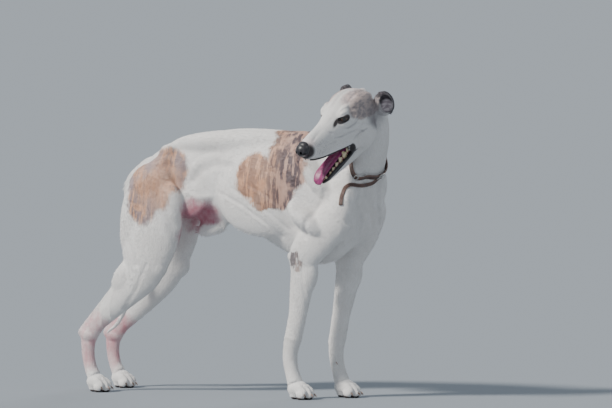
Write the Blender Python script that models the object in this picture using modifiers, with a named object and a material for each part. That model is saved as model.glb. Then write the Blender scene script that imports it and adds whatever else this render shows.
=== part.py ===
"""A life-size greyhound, standing on four feet and looking back over its right side.

Metres, +Z up. The dog faces +X and its left side is +Y. Forms are given in the stance frame,
whose origin is on the floor below the withers, and the finished dog is shifted by STANCE_SHIFT
so that its own origin is the middle of its bounding box, on the floor.
"""

import math

import bmesh
import bpy
from mathutils import Matrix, Vector

# Driving sizes
GAP = 0.0003  # kept between solids that touch
SIDES = 28  # points round a lofted ring
BODY_VOXEL = 0.006
PAW_VOXEL = 0.0028
HEAD_VOXEL = 0.0019
STANCE_SHIFT = Vector((0.2133, 0.0721, 0.0))

# Trunk: x, top, underside, half width
TRUNK = (
    (-0.566, 0.585, 0.535, 0.022),
    (-0.530, 0.630, 0.505, 0.048),
    (-0.480, 0.668, 0.492, 0.064),
    (-0.425, 0.698, 0.488, 0.072),
    (-0.350, 0.720, 0.484, 0.066),
    (-0.270, 0.732, 0.478, 0.064),
    (-0.190, 0.738, 0.468, 0.076),
    (-0.110, 0.735, 0.428, 0.090),
    (-0.030, 0.728, 0.386, 0.096),
    (0.045, 0.718, 0.362, 0.090),
    (0.110, 0.636, 0.376, 0.070),
    (0.160, 0.580, 0.420, 0.050),
    (0.188, 0.540, 0.470, 0.028),
)
# Neck: x, y, z, fore-and-aft radius, side radius
NECK = (
    (0.035, 0.004, 0.590, 0.105, 0.064),
    (0.112, 0.010, 0.590, 0.092, 0.070),
    (0.160, 0.017, 0.624, 0.074, 0.063),
    (0.188, 0.015, 0.674, 0.061, 0.055),
    (0.203, 0.006, 0.720, 0.055, 0.051),
    (0.212, -0.012, 0.754, 0.052, 0.048),
    (0.214, -0.034, 0.782, 0.044, 0.042),
)
# Tail: x, y, z, radius
TAIL = (
    (-0.540, 0.000, 0.606, 0.023),
    (-0.562, 0.001, 0.574, 0.0205),
    (-0.566, 0.004, 0.520, 0.0165),
    (-0.564, 0.008, 0.450, 0.0135),
    (-0.564, 0.012, 0.380, 0.0112),
    (-0.572, 0.016, 0.310, 0.0093),
    (-0.590, 0.020, 0.245, 0.0078),
    (-0.620, 0.022, 0.192, 0.0062),
    (-0.655, 0.022, 0.164, 0.0043),
)
# Each leg: x, y, z, fore-and-aft radius, side radius, from the joint in the body to the root of the toes
FORELEG = {
    "right": (
        (0.150, -0.070, 0.500, 0.050, 0.030),
        (0.100, -0.074, 0.445, 0.053, 0.030),
        (0.050, -0.074, 0.392, 0.049, 0.027),
        (0.042, -0.071, 0.345, 0.0385, 0.0235),
        (0.032, -0.068, 0.285, 0.0335, 0.0215),
        (0.020, -0.065, 0.220, 0.0268, 0.0195),
        (0.006, -0.063, 0.165, 0.0250, 0.0210),
        (-0.003, -0.062, 0.130, 0.0222, 0.0195),
        (-0.004, -0.062, 0.100, 0.0205, 0.0185),
        (0.003, -0.062, 0.070, 0.0200, 0.0200),
        (0.011, -0.062, 0.046, 0.0220, 0.0230),
    ),
    "left": (
        (0.172, 0.070, 0.512, 0.050, 0.032),
        (0.142, 0.074, 0.450, 0.052, 0.030),
        (0.108, 0.074, 0.392, 0.049, 0.027),
        (0.102, 0.071, 0.345, 0.0385, 0.0235),
        (0.094, 0.068, 0.285, 0.0335, 0.0215),
        (0.082, 0.065, 0.220, 0.0268, 0.0195),
        (0.073, 0.064, 0.165, 0.0250, 0.0210),
        (0.068, 0.064, 0.130, 0.0222, 0.0195),
        (0.070, 0.064, 0.100, 0.0205, 0.0185),
        (0.077, 0.064, 0.070, 0.0200, 0.0200),
        (0.085, 0.065, 0.046, 0.0220, 0.0230),
    ),
}
HINDLEG = {
    "right": (
        (-0.436, -0.072, 0.560, 0.080, 0.040),
        (-0.428, -0.084, 0.470, 0.090, 0.042),
        (-0.448, -0.090, 0.390, 0.080, 0.038),
        (-0.466, -0.090, 0.335, 0.062, 0.033),
        (-0.508, -0.089, 0.288, 0.045, 0.027),
        (-0.567, -0.088, 0.236, 0.0325, 0.0215),
        (-0.622, -0.087, 0.188, 0.0248, 0.0175),
        (-0.645, -0.086, 0.158, 0.0262, 0.0170),
        (-0.650, -0.086, 0.128, 0.0218, 0.0155),
        (-0.648, -0.086, 0.095, 0.0195, 0.0150),
        (-0.640, -0.086, 0.065, 0.0190, 0.0170),
        (-0.630, -0.086, 0.046, 0.0205, 0.0205),
    ),
    "left": (
        (-0.455, 0.072, 0.560, 0.078, 0.040),
        (-0.470, 0.084, 0.470, 0.084, 0.042),
        (-0.492, 0.090, 0.390, 0.070, 0.038),
        (-0.512, 0.092, 0.332, 0.057, 0.033),
        (-0.552, 0.093, 0.280, 0.043, 0.027),
        (-0.606, 0.094, 0.228, 0.0325, 0.0215),
        (-0.662, 0.095, 0.178, 0.0248, 0.0175),
        (-0.684, 0.095, 0.150, 0.0262, 0.0170),
        (-0.689, 0.095, 0.122, 0.0218, 0.0155),
        (-0.687, 0.095, 0.092, 0.0195, 0.0150),
        (-0.679, 0.095, 0.064, 0.0190, 0.0170),
        (-0.669, 0.095, 0.046, 0.0205, 0.0205),
    ),
}
TOE_REACH = {"fore": 0.056, "hind": 0.054}  # from the root of the toes to the tip of the long ones
CARPUS_CUT = 0.142
HOCK_CUT = 0.126

# Head, in its own frame: origin inside the occiput, +X to the nose, +Y to the dog's left
HEAD_AT = Vector((0.2162, -0.0413, 0.793))
HEAD_HEADING = math.radians(-107.6)
HEAD_PITCH = math.radians(27.5)
HEAD_ROLL = math.radians(8.9)
SKULL = (
    (-0.014, 0.022, -0.055, 0.028),
    (0.002, 0.044, -0.066, 0.043),
    (0.025, 0.060, -0.074, 0.0515),
    (0.054, 0.069, -0.076, 0.0545),
    (0.083, 0.069, -0.070, 0.0530),
    (0.110, 0.059, -0.062, 0.0480),
    (0.135, 0.0440, -0.055, 0.0410),
    (0.160, 0.0325, -0.053, 0.0335),
    (0.188, 0.0245, -0.051, 0.0290),
    (0.215, 0.0190, -0.048, 0.0258),
    (0.238, 0.0155, -0.044, 0.0230),
    (0.257, 0.0100, -0.037, 0.0185),
)
JAW_HINGE = Vector((0.048, 0.0, -0.041))
JAW_OPEN = math.radians(23.0)
MOUTH_CORNER = Vector((0.111, 0.0, -0.060))
JAW = (
    (0.028, -0.045, -0.072, 0.022),
    (0.058, -0.045, -0.089, 0.030),
    (0.098, -0.047, -0.097, 0.0305),
    (0.130, -0.046, -0.092, 0.0260),
    (0.160, -0.044, -0.083, 0.0225),
    (0.190, -0.042, -0.073, 0.0200),
    (0.216, -0.040, -0.065, 0.0180),
    (0.236, -0.040, -0.057, 0.0130),
)
EYE_CENTRE = Vector((0.1170, 0.0290, 0.0205))  # of the left eye
EYE_RADIUS = 0.0150
EYE_GAZE = Vector((0.62, 0.78, 0.10)).normalized()
LID_THICKNESS = 0.0024
NOSE_CUT = 0.2480

# Collar: a leather band, the free end of its strap, a buckle and a ring
COLLAR_AT = Vector((0.186, 0.014, 0.665))
COLLAR_NORMAL = Vector((0.759, -0.370, 0.536))
COLLAR_WIDTH = 0.012
COLLAR_THICKNESS = 0.0032
BUCKLE_AT = Vector((0.226, 0.014, 0.612))
RING_AT = Vector((0.199, -0.058, 0.600))
STRAP_HALF = 0.0042
STRAP_THICKNESS = 0.0026
STRAP = (
    (0.2180, 0.0040, 0.5860),
    (0.2110, -0.0100, 0.5790),
    (0.2030, -0.0400, 0.5760),
    (0.1920, -0.0620, 0.5780),
    (0.1800, -0.0690, 0.5770),
    (0.1700, -0.0720, 0.5680),
    (0.1650, -0.0760, 0.5540),
    (0.1660, -0.0850, 0.5380),
    (0.1680, -0.0910, 0.5230),
)

TRIANGLES = {"body": 3900, "paw": 370, "head": 2800, "ear": 340, "nose": 280}


def clear_scene():
    for obj in list(bpy.data.objects):
        bpy.data.objects.remove(obj)


def group(name):
    made = bpy.data.collections.new(name)
    bpy.context.scene.collection.children.link(made)
    return made


def finish_of(name, colour, roughness, metallic=0.0):
    made = bpy.data.materials.new(name)
    made.use_nodes = True
    shader = made.node_tree.nodes["Principled BSDF"]
    shader.inputs["Base Color"].default_value = (*colour, 1.0)
    shader.inputs["Roughness"].default_value = roughness
    shader.inputs["Metallic"].default_value = metallic
    return made


def object_from(name, mesh):
    made = bpy.data.objects.new(name, mesh)
    bpy.context.scene.collection.objects.link(made)
    return made


def object_of(name, bm):
    bmesh.ops.recalc_face_normals(bm, faces=bm.faces)
    mesh = bpy.data.meshes.new(name)
    bm.to_mesh(mesh)
    bm.free()
    return object_from(name, mesh)


def applied(obj):
    """Replaces the object's mesh by what its modifiers make of it."""
    graph = bpy.context.evaluated_depsgraph_get()
    mesh = bpy.data.meshes.new_from_object(obj.evaluated_get(graph))
    obj.modifiers.clear()
    obj.data = mesh
    return obj


def copy_of(obj, name="copy"):
    return object_from(name, obj.data.copy())


def between(stations, steps):
    """Stations on a smooth curve through the given ones, steps to each stretch."""
    ends = (stations[0], *stations, stations[-1])
    out = []
    for before, a, b, after in zip(ends, ends[1:], ends[2:], ends[3:]):
        for step in range(steps):
            t = step / steps
            out.append(tuple(
                0.5 * (2 * q + (r - p) * t + (2 * p - 5 * q + 4 * r - s) * t * t
                       + (3 * q - p - 3 * r + s) * t ** 3)
                for p, q, r, s in zip(before, a, b, after)
            ))
    out.append(tuple(stations[-1]))
    return out


def loft(name, rings):
    """A closed skin over rings of equal count, flat at both ends."""
    bm = bmesh.new()
    rows = [[bm.verts.new(point) for point in ring] for ring in rings]
    count = len(rings[0])
    for low, high in zip(rows, rows[1:]):
        for i in range(count):
            j = (i + 1) % count
            bm.faces.new((low[i], low[j], high[j], high[i]))
    bm.faces.new(rows[0][::-1])
    bm.faces.new(rows[-1])
    return object_of(name, bm)


def barrel(name, stations, power=2.2, keel=0.0, ridge=0.0, steps=4, grow=0.0, sides=SIDES):
    """A loft along X. Keel narrows the lower half and ridge the upper one."""
    rings = []
    for x, top, bottom, half in between(stations, steps):
        middle, tall = (top + bottom) / 2, (top - bottom) / 2 + grow
        ring = []
        for k in range(sides):
            c, s = math.cos(math.tau * k / sides), math.sin(math.tau * k / sides)
            up = math.copysign(abs(c) ** (2 / power), c)
            across = math.copysign(abs(s) ** (2 / power), s)
            narrow = 1 - (keel if c < 0 else ridge) * c * c
            ring.append(Vector((x, (half + grow) * across * narrow, middle + tall * up)))
        rings.append(ring)
    return loft(name, rings)


def limb(name, stations, steps=3, sides=SIDES):
    """A loft with oval sections square to its path; station: x, y, z, fore-and-aft, side radius."""
    line = between(stations, steps)
    rings = []
    for i, (x, y, z, fore, side) in enumerate(line):
        ahead = Vector(line[min(i + 1, len(line) - 1)][:3])
        behind = Vector(line[max(i - 1, 0)][:3])
        along = (ahead - behind).normalized()
        across = (Vector((0, 1, 0)) - along * along.y).normalized()
        front = across.cross(along)
        rings.append([
            Vector((x, y, z))
            + front * (fore * math.cos(math.tau * k / sides))
            + across * (side * math.sin(math.tau * k / sides))
            for k in range(sides)
        ])
    return loft(name, rings)


def ball(name, centre, radii, tilt=0.0, turn=0.0, around=28):
    """An ellipsoid; tilt lifts its +X end, turn swings that end to the left, in degrees."""
    bm = bmesh.new()
    bmesh.ops.create_uvsphere(bm, u_segments=around, v_segments=around // 2 + 1, radius=1.0)
    place = (
        Matrix.Translation(centre)
        @ Matrix.Rotation(math.radians(turn), 4, "Z")
        @ Matrix.Rotation(math.radians(-tilt), 4, "Y")
        @ Matrix.Diagonal((*radii, 1.0))
    )
    bmesh.ops.transform(bm, matrix=place, verts=bm.verts)
    return object_of(name, bm)


def block(name, points):
    """The convex solid round the points."""
    bm = bmesh.new()
    bmesh.ops.convex_hull(bm, input=[bm.verts.new(p) for p in points])
    return object_of(name, bm)


def half_space(point, normal, size=1.6):
    """A big cube whose one face lies on the plane, on the side the normal points to."""
    bm = bmesh.new()
    bmesh.ops.create_cube(bm, size=size)
    normal = Vector(normal).normalized()
    place = Matrix.Translation(Vector(point) + normal * size / 2)
    place = place @ normal.to_track_quat("Z", "Y").to_matrix().to_4x4()
    bmesh.ops.transform(bm, matrix=place, verts=bm.verts)
    return object_of("half", bm)


def largest(obj):
    """Keeps the largest closed surface and drops loose scraps and sealed hollows."""
    bm = bmesh.new()
    bm.from_mesh(obj.data)
    left, shells = set(bm.faces), []
    while left:
        todo, shell = [left.pop()], []
        while todo:
            face = todo.pop()
            shell.append(face)
            for edge in face.edges:
                for other in edge.link_faces:
                    if other in left:
                        left.remove(other)
                        todo.append(other)
        shells.append(shell)
    shells.sort(key=lambda faces: sum(f.calc_area() for f in faces), reverse=True)
    for shell in shells[1:]:
        bmesh.ops.delete(bm, geom=shell, context="FACES")
    bm.to_mesh(obj.data)
    bm.free()
    return obj


def boolean(obj, others, operation):
    """Joins or cuts obj with a collection of closed meshes, which are then removed."""
    hands = group("hands")
    for other in others:
        for home in list(other.users_collection):
            home.objects.unlink(other)
        hands.objects.link(other)
    modifier = obj.modifiers.new(operation, "BOOLEAN")
    modifier.operation = operation
    modifier.solver = "MANIFOLD"
    modifier.operand_type = "COLLECTION"
    modifier.collection = hands
    applied(obj)
    for other in list(hands.objects):
        bpy.data.objects.remove(other)
    bpy.data.collections.remove(hands)
    return obj


def fused(name, pieces, voxel, passes, triangles=None):
    """One smooth closed surface over all the pieces, with about that many triangles if given."""
    obj = boolean(pieces[0], pieces[1:], "UNION")
    obj.name = name
    remesh = obj.modifiers.new("melt", "REMESH")
    remesh.mode = "VOXEL"
    remesh.voxel_size = voxel
    smooth = obj.modifiers.new("smooth", "SMOOTH")
    smooth.factor = 0.5
    smooth.iterations = passes
    applied(obj)
    largest(obj)
    if triangles is None:
        return obj
    count = sum(len(p.vertices) - 2 for p in obj.data.polygons)
    fewer = obj.modifiers.new("fewer", "DECIMATE")
    fewer.ratio = min(1.0, triangles / count)
    return largest(applied(obj))


def swollen(obj, by, name="swollen"):
    """A copy whose surface stands proud by that much."""
    copy = copy_of(obj, name)
    push = copy.modifiers.new("push", "DISPLACE")
    push.strength = by
    push.mid_level = 0.0
    return applied(copy)


def trimmed(obj, *others):
    """Cuts obj back so that it keeps the gap to the others."""
    return largest(boolean(obj, [swollen(o, GAP) for o in others], "DIFFERENCE"))


def taken(obj, cutter, name):
    """Takes the part of obj inside the cutter as a new object, and leaves the rest."""
    piece = copy_of(obj, name)
    piece = boolean(piece, [copy_of(cutter)], "INTERSECT")
    boolean(obj, [swollen(cutter, 2 * GAP)], "DIFFERENCE")
    bpy.data.objects.remove(cutter)
    largest(obj)
    return largest(piece)


def parted(obj, point, normal, name):
    """Cuts obj at a plane; the side the normal points to becomes a new object."""
    normal = Vector(normal).normalized()
    point = Vector(point)
    piece = copy_of(obj, name)
    boolean(piece, [half_space(point + normal * GAP / 2, normal)], "INTERSECT")
    boolean(obj, [half_space(point - normal * GAP / 2, -normal)], "INTERSECT")
    largest(obj)
    return largest(piece)


def side_of(name):
    return 1.0 if "left" in name else -1.0


def head_matrix():
    """Places the head's frame in the stance frame."""
    heading = Vector((math.cos(HEAD_HEADING), math.sin(HEAD_HEADING), 0))
    nose = heading * math.cos(HEAD_PITCH) - Vector((0, 0, math.sin(HEAD_PITCH)))
    left = Vector((-math.sin(HEAD_HEADING), math.cos(HEAD_HEADING), 0))
    crown = nose.cross(left)
    tilted = left * math.cos(HEAD_ROLL) - crown * math.sin(HEAD_ROLL)
    crown = nose.cross(tilted)
    turn = Matrix((nose, tilted, crown)).transposed().to_4x4()
    return Matrix.Translation(HEAD_AT) @ turn


def trunk_pieces():
    pieces = [barrel("trunk", TRUNK, power=2.25, keel=0.34, ridge=0.22)]
    pieces.append(limb("neck", NECK))
    for s in (-1, 1):
        ahead = 0.03 if s > 0 else 0.0  # the left foreleg stands further forward
        pieces += [
            ball("blade", (0.072 + ahead / 2, s * 0.054, 0.605), (0.105, 0.046, 0.026), -52, 0),
            ball("shoulder", (0.152 + ahead, s * 0.066, 0.512), (0.040, 0.030, 0.044)),
            ball("triceps", (0.062 + ahead, s * 0.072, 0.485), (0.082, 0.060, 0.030), -38, 0),
            ball("breast", (0.138, s * 0.036, 0.470), (0.048, 0.040, 0.058), 0, 0),
            ball("ribs", (-0.075, s * 0.052, 0.560), (0.170, 0.048, 0.125), 4, 0),
            ball("back", (-0.215, s * 0.034, 0.700), (0.190, 0.034, 0.033), 1, 0),
            ball("hip_bone", (-0.408, s * 0.050, 0.678), (0.030, 0.018, 0.018), 24, 0),
            ball("croup", (-0.442, s * 0.046, 0.616), (0.076, 0.042, 0.036), 40, 0),
            ball("seat", (-0.522, s * 0.050, 0.556), (0.026, 0.026, 0.036)),
            ball("collar_bone", (0.160, s * 0.040, 0.575), (0.050, 0.034, 0.060)),
            ball("flank", (-0.330, s * 0.056, 0.545), (0.060, 0.016, 0.055), -30, 0),
        ]
    pieces.append(ball("neck_side", (0.184, 0.048, 0.580), (0.050, 0.034, 0.074)))
    pieces.append(ball("withers", (0.000, 0, 0.700), (0.080, 0.030, 0.028), -6, 0))
    pieces.append(ball("breastbone", (0.176, 0, 0.498), (0.022, 0.020, 0.030), 60, 0))
    pieces.append(ball("sheath", (-0.292, 0, 0.462), (0.056, 0.020, 0.026), 14, 0))
    return pieces


def leg_pieces():
    pieces = []
    for side, stations in FORELEG.items():
        s = side_of(side)
        elbow, wrist = stations[2], stations[6]
        pieces += [
            limb("foreleg", stations),
            ball("elbow", (elbow[0] - 0.036, s * 0.070, elbow[2] - 0.010), (0.017, 0.015, 0.024), 60),
            ball("forearm", (elbow[0] + 0.004, s * 0.071, 0.338), (0.033, 0.024, 0.060), -8),
            ball("wrist", (wrist[0], wrist[1], 0.166), (0.026, 0.022, 0.022)),
            ball("wrist_pad", (wrist[0] - 0.023, wrist[1], 0.152), (0.008, 0.009, 0.013)),
        ]
    for side, stations in HINDLEG.items():
        s = side_of(side)
        shift = stations[2][0] - HINDLEG["right"][2][0]
        drop = stations[6][2] - HINDLEG["right"][6][2]
        hock = stations[7]
        pieces += [
            limb("hindleg", stations),
            ball("thigh_back", (-0.484 + shift, s * 0.080, 0.480), (0.056, 0.042, 0.125), -4),
            ball("thigh_front", (-0.388 + shift, s * 0.086, 0.480), (0.046, 0.034, 0.110), -10),
            ball("thigh_root", (-0.446 + shift * 0.5, s * 0.066, 0.572), (0.080, 0.048, 0.072), 30),
            ball("knee", (-0.412 + shift, s * 0.092, 0.352), (0.030, 0.026, 0.038), -30),
            ball("calf", (-0.512 + shift, s * 0.091, 0.326 + drop / 2), (0.066, 0.029, 0.040), 52),
            limb("heel_cord", (
                (-0.548 + shift, s * 0.090, 0.292 + drop / 2, 0.018, 0.014),
                (hock[0] + 0.006, hock[1], hock[2] + 0.050, 0.0105, 0.0085),
                (hock[0] - 0.024, hock[1], hock[2] + 0.014, 0.0125, 0.0100),
            )),
            ball("heel", (hock[0] - 0.024, hock[1], hock[2] + 0.008), (0.0145, 0.0130, 0.0150)),
            ball("hock", (hock[0] + 0.004, hock[1], hock[2] + 0.006), (0.026, 0.0195, 0.024)),
        ]
    return pieces


def paw(name, stations):
    """Pastern, pad and four toes with claws, flat where they meet the floor."""
    kind, side = name.split("_")
    foot = Vector(stations[-1][:3])
    reach = TOE_REACH[kind[:4]]
    wrist = stations[-5]
    pieces = [
        limb("pastern", stations[-6:]),
        ball("wrist", wrist[:3], (0.026, 0.022, 0.022)),
        ball("ball_of_foot", foot + Vector((0.008, 0, -0.017)), (0.032, 0.0260, 0.024)),
        ball("heel_pad", foot + Vector((0.004, 0, -0.036)), (0.021, 0.0185, 0.014)),
    ]
    claws = []
    for place, length in ((-1.5, 0.76), (-0.5, 1.0), (0.5, 1.0), (1.5, 0.76)):
        out = place * 0.0125
        turn = place * 5.0
        far = reach * length
        tip = foot + Vector((far, out * 1.28, 0))
        pieces += [
            ball("toe", (foot.x + far * 0.50, foot.y + out, 0.0270), (0.0280, 0.0092, 0.0140), -20, turn),
            ball("knuckle", (foot.x + far * 0.58, foot.y + out, 0.0305), (0.0115, 0.0094, 0.0110)),
            ball("toe_end", (tip.x - 0.013, tip.y, 0.0135), (0.0150, 0.0094, 0.0120), -12, turn),
        ]
        claws.append(ball("claw", (tip.x + 0.003, tip.y, 0.0105), (0.0105, 0.0027, 0.0036), -30, turn, 8))
    if kind == "forepaw":
        inner = -side_of(side)
        pieces.append(ball("dewclaw", foot + Vector((-0.008, inner * 0.018, 0.058)), (0.006, 0.006, 0.012)))
    made = fused(name, pieces, PAW_VOXEL, 3, TRIANGLES["paw"])
    boolean(made, claws, "UNION")
    boolean(made, [half_space((0, 0, 0), (0, 0, 1))], "INTERSECT")
    cut = CARPUS_CUT if kind == "forepaw" else HOCK_CUT
    boolean(made, [half_space((0, 0, cut - GAP / 2), (0, 0, -1))], "INTERSECT")
    return largest(made)


def body_parts():
    """The flesh of trunk, neck and legs as one surface, then cut into its named parts."""
    trunk = fused("trunk", trunk_pieces(), BODY_VOXEL, 12)
    body = fused("chest", [trunk, *leg_pieces()], BODY_VOXEL, 4, TRIANGLES["body"])
    parts = {}
    for side in ("right", "left"):
        s = side_of(side)
        fore = block("fore", [
            (x, s * y, z)
            for x in (-0.100, 0.300)
            for y, z in ((0.030, -0.10), (0.030, 0.345), (0.042, 0.375), (0.140, 0.470), (0.300, 0.470), (0.300, -0.10))
        ])
        leg = taken(body, fore, f"foreleg_{side}")
        bpy.data.objects.remove(parted(leg, (0, 0, CARPUS_CUT), (0, 0, -1), "spare"))
        parts[leg.name] = leg
        hind = block("hind", [
            (x, s * y, z)
            for y, x, z in (
                (0.008, -0.90, -0.10), (0.008, -0.25, -0.10), (0.300, -0.90, -0.10), (0.300, -0.25, -0.10),
                (0.012, -0.90, 0.440), (0.012, -0.300, 0.440), (0.070, -0.64, 0.640), (0.070, -0.375, 0.640),
                (0.300, -0.90, 0.640), (0.300, -0.375, 0.640), (0.300, -0.300, 0.440),
            )
        ])
        thigh = taken(body, hind, f"thigh_{side}")
        knee = HINDLEG[side][3]
        shank = parted(thigh, (knee[0] - 0.012, 0, knee[2] - 0.010), (-0.52, 0, -0.85), f"shank_{side}")
        bpy.data.objects.remove(parted(shank, (0, 0, HOCK_CUT), (0, 0, -1), "spare"))
        parts[thigh.name] = thigh
        parts[shank.name] = shank
    parts["neck"] = parted(body, (0.060, 0, 0.700), (0.745, 0, 0.667), "neck")
    loin = parted(body, (-0.190, 0, 0.600), (-1, 0, -0.18), "loin")
    parts["loin"] = loin
    parts["chest"] = body
    return parts


def paws():
    made = {}
    for kind, legs in (("forepaw", FORELEG), ("hindpaw", HINDLEG)):
        for side, stations in legs.items():
            name = f"{kind}_{side}"
            made[name] = paw(name, stations)
    return made


def tail_parts(loin):
    tail = limb("tail_upper", [(x, y, z, r, r) for x, y, z, r in TAIL], steps=2, sides=10)
    boolean(tail, [ball("tip", TAIL[-1][:3], (0.0052, 0.0042, 0.0042), 40, 0, 10)], "UNION")
    trimmed(tail, loin)
    lower = parted(tail, TAIL[4][:3], (0, 0, -1), "tail_lower")
    return {"tail_upper": tail, "tail_lower": lower}


def jaw_turn():
    """Opens the mouth: turns the lower jaw about its hinge, in the head's frame."""
    return (
        Matrix.Translation(JAW_HINGE)
        @ Matrix.Rotation(JAW_OPEN, 4, "Y")
        @ Matrix.Translation(-JAW_HINGE)
    )


def mapped(obj, matrix):
    obj.data.transform(matrix)
    return obj


def mirrored(point, s):
    return Vector((point[0], s * point[1], point[2]))


def head_pieces():
    pieces = [
        barrel("skull", SKULL, power=2.35, keel=0.10, ridge=0.14),
        mapped(barrel("jaw", JAW, power=2.3, keel=0.22), jaw_turn()),
        ball("occiput", (0.004, 0, 0.034), (0.018, 0.013, 0.014), 10),
        ball("throat", (0.050, 0, -0.078), (0.052, 0.034, 0.030), -22),
        ball("bridge", (0.200, 0, 0.014), (0.066, 0.0115, 0.0105), -10),
    ]
    for s in (-1, 1):
        pieces += [
            ball("cheek_bone", (0.090, s * 0.044, -0.010), (0.042, 0.010, 0.012), -14, -s * 10),
            ball("chewing_muscle", (0.060, s * 0.038, -0.050), (0.044, 0.018, 0.038), -20),
            ball("cheek", (0.098, s * 0.031, -0.058), (0.032, 0.008, 0.024), -30, -s * 8),
            ball("brow", (0.114, s * 0.030, 0.038), (0.022, 0.012, 0.011), -26, -s * 14),
            ball("temple", (0.050, s * 0.031, 0.036), (0.048, 0.020, 0.022), 4),
            ball("below_eye", (0.145, s * 0.026, -0.016), (0.036, 0.012, 0.020), -6, -s * 9),
            ball("muzzle", (0.200, s * 0.0165, -0.022), (0.056, 0.0105, 0.0190), 3, -s * 3),
            ball("lip", (0.230, s * 0.0120, -0.0320), (0.028, 0.0105, 0.0110), 6, -s * 6),
            ball("lid", mirrored(EYE_CENTRE, s), (EYE_RADIUS + 2 * LID_THICKNESS,) * 3),
        ]
    return pieces


def eye_slit(s):
    """The almond opening between the lids, as a cutter that looks out along the gaze."""
    centre = mirrored(EYE_CENTRE, s)
    gaze = mirrored(EYE_GAZE, s)
    bm = bmesh.new()
    bmesh.ops.create_uvsphere(bm, u_segments=14, v_segments=8, radius=1.0)
    turn = gaze.to_track_quat("X", "Z").to_matrix().to_4x4()
    place = (
        Matrix.Translation(centre + gaze * EYE_RADIUS)
        @ turn
        @ Matrix.Rotation(math.radians(-s * 12), 4, "X")
        @ Matrix.Diagonal((0.0110, 0.0170, 0.0082, 1.0))
    )
    bmesh.ops.transform(bm, matrix=place, verts=bm.verts)
    return object_of("slit", bm)


def head_part():
    head = fused("head", head_pieces(), HEAD_VOXEL, 9, TRIANGLES["head"])
    mouth = [
        ball("palate", (0.180, 0, -0.055), (0.070, 0.0170, 0.0140), 6, 0, 14),
        ball("gullet", (0.118, 0, -0.066), (0.042, 0.0205, 0.0200), -8, 0, 12),
        mapped(ball("floor", (0.172, 0, -0.0390), (0.060, 0.0135, 0.0095), 4, 0, 14), jaw_turn()),
    ]
    boolean(head, mouth, "DIFFERENCE")
    return head


def box_at(point, along, up, sizes):
    """A box centred on the point, its sides laid along the two directions and their normal."""
    up = up.normalized()
    side = up.cross(along).normalized()
    turn = Matrix((side.cross(up), side, up)).transposed().to_4x4()
    bm = bmesh.new()
    bmesh.ops.create_cube(bm, size=1.0)
    bmesh.ops.transform(bm, matrix=Matrix.Translation(point) @ turn @ Matrix.Diagonal((*sizes, 1.0)), verts=bm.verts)
    return object_of("box", bm)


def neck_collar(neck):
    """A band that hugs the neck between two parallel planes."""
    band = swollen(neck, COLLAR_THICKNESS + 2 * GAP, "collar")
    half = COLLAR_NORMAL * COLLAR_WIDTH / 2
    boolean(band, [half_space(COLLAR_AT + half, -COLLAR_NORMAL)], "INTERSECT")
    boolean(band, [half_space(COLLAR_AT - half, COLLAR_NORMAL)], "INTERSECT")
    boolean(band, [swollen(neck, 2 * GAP)], "DIFFERENCE")
    return largest(band)


def fitting(neck, name, point, long, tall, bar):
    """A metal frame bent to the outside of the collar."""
    inner = COLLAR_THICKNESS + 4 * GAP
    plate = swollen(neck, inner + 0.0024, name)
    outward = (point - COLLAR_AT) - COLLAR_NORMAL * (point - COLLAR_AT).dot(COLLAR_NORMAL)
    boolean(plate, [box_at(point, outward, COLLAR_NORMAL, (0.050, long, tall))], "INTERSECT")
    boolean(plate, [swollen(neck, inner)], "DIFFERENCE")
    boolean(plate, [box_at(point, outward, COLLAR_NORMAL, (0.060, long - 2 * bar, tall - 2 * bar))], "DIFFERENCE")
    return largest(plate)


def seated(point, skins, lift):
    """The nearest point of the skins raised by lift, and the direction it is raised in."""
    hits = [skin.closest_point_on_mesh(point) for skin in skins]
    _, nearest, normal, _ = min(hits, key=lambda hit: (hit[1] - point).length)
    return nearest + normal * lift, normal


def free_end(name, skins):
    """The loose end of the strap, lying on the coat."""
    lift = STRAP_THICKNESS / 2 + 0.0018
    line = [seated(Vector(p), skins, lift)[0] for p in between(STRAP, 2)]
    for _ in range(3):
        line = [line[0], *((a + 2 * b + c) / 4 for a, b, c in zip(line, line[1:], line[2:])), line[-1]]
        line = [seated(p, skins, lift)[0] for p in line]
    rings = []
    for i, seat in enumerate(line):
        along = (line[min(i + 1, len(line) - 1)] - line[max(i - 1, 0)]).normalized()
        across = seated(seat, skins, lift)[1].cross(along).normalized() * STRAP_HALF
        up = along.cross(across).normalized() * STRAP_THICKNESS / 2
        rings.append([seat + across + up, seat - across + up, seat - across - up, seat + across - up])
    return trimmed(loft(name, rings), *skins)


def tooth_row():
    """Lower teeth in the head's frame with the mouth shut: front teeth, canines and side teeth."""
    teeth = []
    for s in (-1, 1):
        for i in range(3):
            at = (0.2415 - 0.0012 * i * i, s * (0.0016 + 0.0031 * i), -0.0385)
            teeth.append(ball("incisor", at, (0.0019, 0.0016, 0.0072), 0, 0, 6))
        teeth.append(ball("canine", (0.2290, s * 0.0115, -0.0345), (0.0038, 0.0032, 0.0145), -8, 0, 8))
        for i in range(6):
            x = 0.212 - 0.0145 * i
            half = 0.0140 + 0.0012 * i
            tall = 0.0085 + 0.0008 * i
            teeth.append(ball("side_tooth", (x, s * half, -0.0410), (0.0060, 0.0024, tall), 0, 0, 6))
    return [mapped(tooth, jaw_turn()) for tooth in teeth]


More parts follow.
